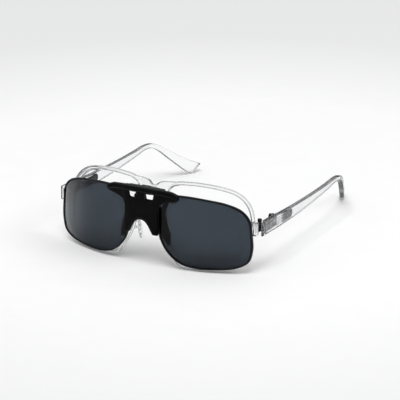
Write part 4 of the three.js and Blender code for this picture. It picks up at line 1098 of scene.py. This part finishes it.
reaches = np.unique(np.concatenate([
    np.linspace(0, LEG_INNER, LEG_STEPS), [LEG_HALF],
    np.linspace(LEG_HALF + LEG_EDGE, BAR_HALF, WING_STEPS)]))
bridge = skin("clip_moulding", [bridge_section(x) for x in (*-reaches[:0:-1], *reaches)])
arch = []
for x in np.linspace(-1, 1, ARCH_POINTS) * (LEG_INNER + ARCH_BEAD_PAST):
    lower = bridge_lower(min(abs(x), LEG_INNER))
    arch.append((x, float(clip_sag(x)) + BRIDGE_FRONT + ARCH_BEAD_SINK, lower + ARCH_BEAD))
carve(bridge, tube("arch_bead", even_path(arch, ARCH_STEPS), ARCH_BEAD), "UNION")
for side in (1, -1):
    x0, x1 = sorted((side * EAR_INNER, side * (EAR_INNER + EAR_WIDTH)))
    root = block("ear_root", (x0, BRIDGE_BACK - EAR_ROOT_BITE, FLIP_Z - EAR_ROOT_HALF),
                 (x1, FLIP_Y, FLIP_Z + EAR_ROOT_HALF))
    carve(bridge, root, "UNION")
    ear = tube("ear", [(x0, FLIP_Y, FLIP_Z), (x1, FLIP_Y, FLIP_Z)], EAR_RADIUS, EAR_SIDES)
    carve(bridge, ear, "UNION")
    opening = soften([(side * x, z, WINDOW_ROUND) for x, z in WINDOW])
    carve(bridge, skin("window", [
        np.column_stack([opening[:, 0], np.full(len(opening), y), opening[:, 1]])
        for y in (-THROUGH, THROUGH)]))
    for x, z in RIVETS:
        bottom = float(clip_sag(x)) + BRIDGE_BACK - RIVET_BITE
        hole = [(side * x, bottom, z), (side * x, THROUGH, z)]
        carve(bridge, tube("rivet_hole", hole, RIVET_HOLE, RIVET_HOLE_SIDES))
bore = [(-BORE_HALF, FLIP_Y, FLIP_Z), (BORE_HALF, FLIP_Y, FLIP_Z)]
carve(bridge, tube("pin_bore", bore, PIN_BORE, BORE_SIDES))

MOULDED_GRAIN = (2600.0, 3.0)
MOULDED_STRENGTH = 0.12
MOULDED_DEPTH = 0.00008
LEVEL = (0.1, 0.8)  # how level a face is where its coat begins to shine and is full
LEVEL_COAT = (0.0, 0.8)
moulded, moulded_shader, moulded_at = clouded(
    "black_moulding", tints=((0.002, 0.002, 0.0024), (0.004, 0.004, 0.0045)), tint_grain=(180.0, 3.0),
    sheen=(0.3, 0.46), sheen_grain=MOULDED_GRAIN, Specular_IOR_Level=0.04, Coat_Roughness=0.22)
level = abs(moulded_at.normal().part("Z"))
level.ramp(*LEVEL, *LEVEL_COAT).feed(moulded_shader, "Coat Weight")
moulded_relief = moulded_at.noise(*MOULDED_GRAIN).bump(MOULDED_STRENGTH, MOULDED_DEPTH)
moulded_relief.feed(moulded_shader, "Normal")
finish_piece(bridge, moulded, "clip", "black_plastic", "clip_bridge")


# Rivets
# Black steel rivets hold the sun lenses to the back of the bridge: a plain shank in the moulding
# and a domed head on the lens. The same rivet is set at all four places.
RIVET_HEAD = 1.0
RIVET_DOME = 0.8
RIVET_SHANK = 0.6
RIVET_SIDES = 32
RIVET_RINGS = 16
RIVET_DEEP = 0.6
RIVET_CLEAR = 0.3
SHANK_DOWN = -0.45  # of its length, so that its top end lies inside the head
rivet_seat = SUN_RIM_DEPTH / 2 + SUN_HALF + RIVET_CLEAR
rivet_spots = [(sign * x, float(clip_sag(x)) + rivet_seat, z) for sign in (1, -1) for x, z in RIVETS]
riveting = Tree(
    "rivets", Head=RIVET_HEAD * MM, Dome=RIVET_DOME * MM, Shank=RIVET_SHANK * MM,
    Length=(rivet_seat - BRIDGE_BACK + RIVET_DEEP) * MM)
whole_ball = riveting.add("GeometryNodeMeshUVSphere", {
    "Segments": RIVET_SIDES, "Rings": RIVET_RINGS, "Radius": riveting.given["Head"]})
face_place = riveting.add("GeometryNodeInputPosition")
face_height = riveting.add("ShaderNodeSeparateXYZ", {0: face_place}, "Z")
lower_half = riveting.math("LESS_THAN", face_height, 0.0)
dome = riveting.add(
    "GeometryNodeDeleteGeometry", {"Geometry": whole_ball, "Selection": lower_half}, domain="FACE")
flatter = riveting.math("DIVIDE", riveting.given["Dome"], riveting.given["Head"])
dome = riveting.add(
    "GeometryNodeTransform", {"Geometry": dome, "Scale": riveting.vector(1.0, 1.0, flatter)})
disc = riveting.add("GeometryNodeMeshCircle", {
    "Vertices": RIVET_SIDES, "Radius": riveting.given["Head"]}, fill_type="NGON")
under_head = riveting.add("GeometryNodeFlipFaces", {"Mesh": disc})
head = riveting.add("GeometryNodeJoinGeometry", {"Geometry": [dome, under_head]})
head = riveting.add("GeometryNodeMergeByDistance", {"Geometry": head, "Distance": JOIN_DISTANCE})
shank = riveting.add("GeometryNodeMeshCylinder", {
    "Vertices": RIVET_SIDES, "Radius": riveting.given["Shank"], "Depth": riveting.given["Length"]})
below = riveting.vector(z=riveting.math("MULTIPLY", riveting.given["Length"], SHANK_DOWN))
shank = riveting.add("GeometryNodeTransform", {"Geometry": shank, "Translation": below})
whole = riveting.add(
    "GeometryNodeMeshBoolean", {"Mesh 2": [head, shank]}, operation="UNION", solver="MANIFOLD")
whole = riveting.add("GeometryNodeTransform", {"Geometry": whole, "Rotation": (-math.pi / 2, 0, 0)})
rivets = to_object("rivets", rivet_spots, [])
riveting.grow(riveting.given["Geometry"], whole, black_steel, rivets)
finish_piece(rivets, black_steel, "clip", "black_screw", *(
    f"lens_rivet_{side}_{i}" for side in ("left", "right") for i in (1, 2)))


# Clamp
# The clamp behind the bridge: a black base with the flip hinge and two broad leaf-shaped prongs in
# front of the clear lenses, and a jaw on a pin whose two rear prongs press from behind.
drawn_steel = clouded(
    "drawn_steel", tints=((0.5, 0.5, 0.51), (0.68, 0.68, 0.69)), tint_grain=(1400.0,),
    sheen=(0.18, 0.34), sheen_grain=(2400.0, 3.0), Metallic=1.0)[0]
vinyl = clouded(
    "soft_black_vinyl", tints=((0.008, 0.008, 0.008), (0.016, 0.016, 0.016)), tint_grain=(600.0, 3.0),
    sheen=(0.55, 0.75), sheen_grain=(900.0, 3.0), Specular_IOR_Level=0.2)[0]
for node, material, body, slot, width in (
    ("clamp_base", moulded, "frame", "black_plastic", 0.2),
    ("clamp_jaw", moulded, "jaw", "black_plastic", 0.15),
    ("flip_pin", drawn_steel, "frame", "spring_steel", 0.1),
    ("jaw_pin", drawn_steel, "frame", "spring_steel", 0.1),
    ("jaw_spring", drawn_steel, "frame", "spring_steel", 0.0),
    ("prong_pad_left", vinyl, "frame", "soft_vinyl", 0.2),
    ("prong_pad_right", vinyl, "frame", "soft_vinyl", 0.2),
    ("prong_sleeve_left", vinyl, "jaw", "soft_vinyl", 0.1),
    ("prong_sleeve_right", vinyl, "jaw", "soft_vinyl", 0.1),
):
    finish_piece(rounded_copy(node, f"{node}_piece", width), material, body, slot, node)
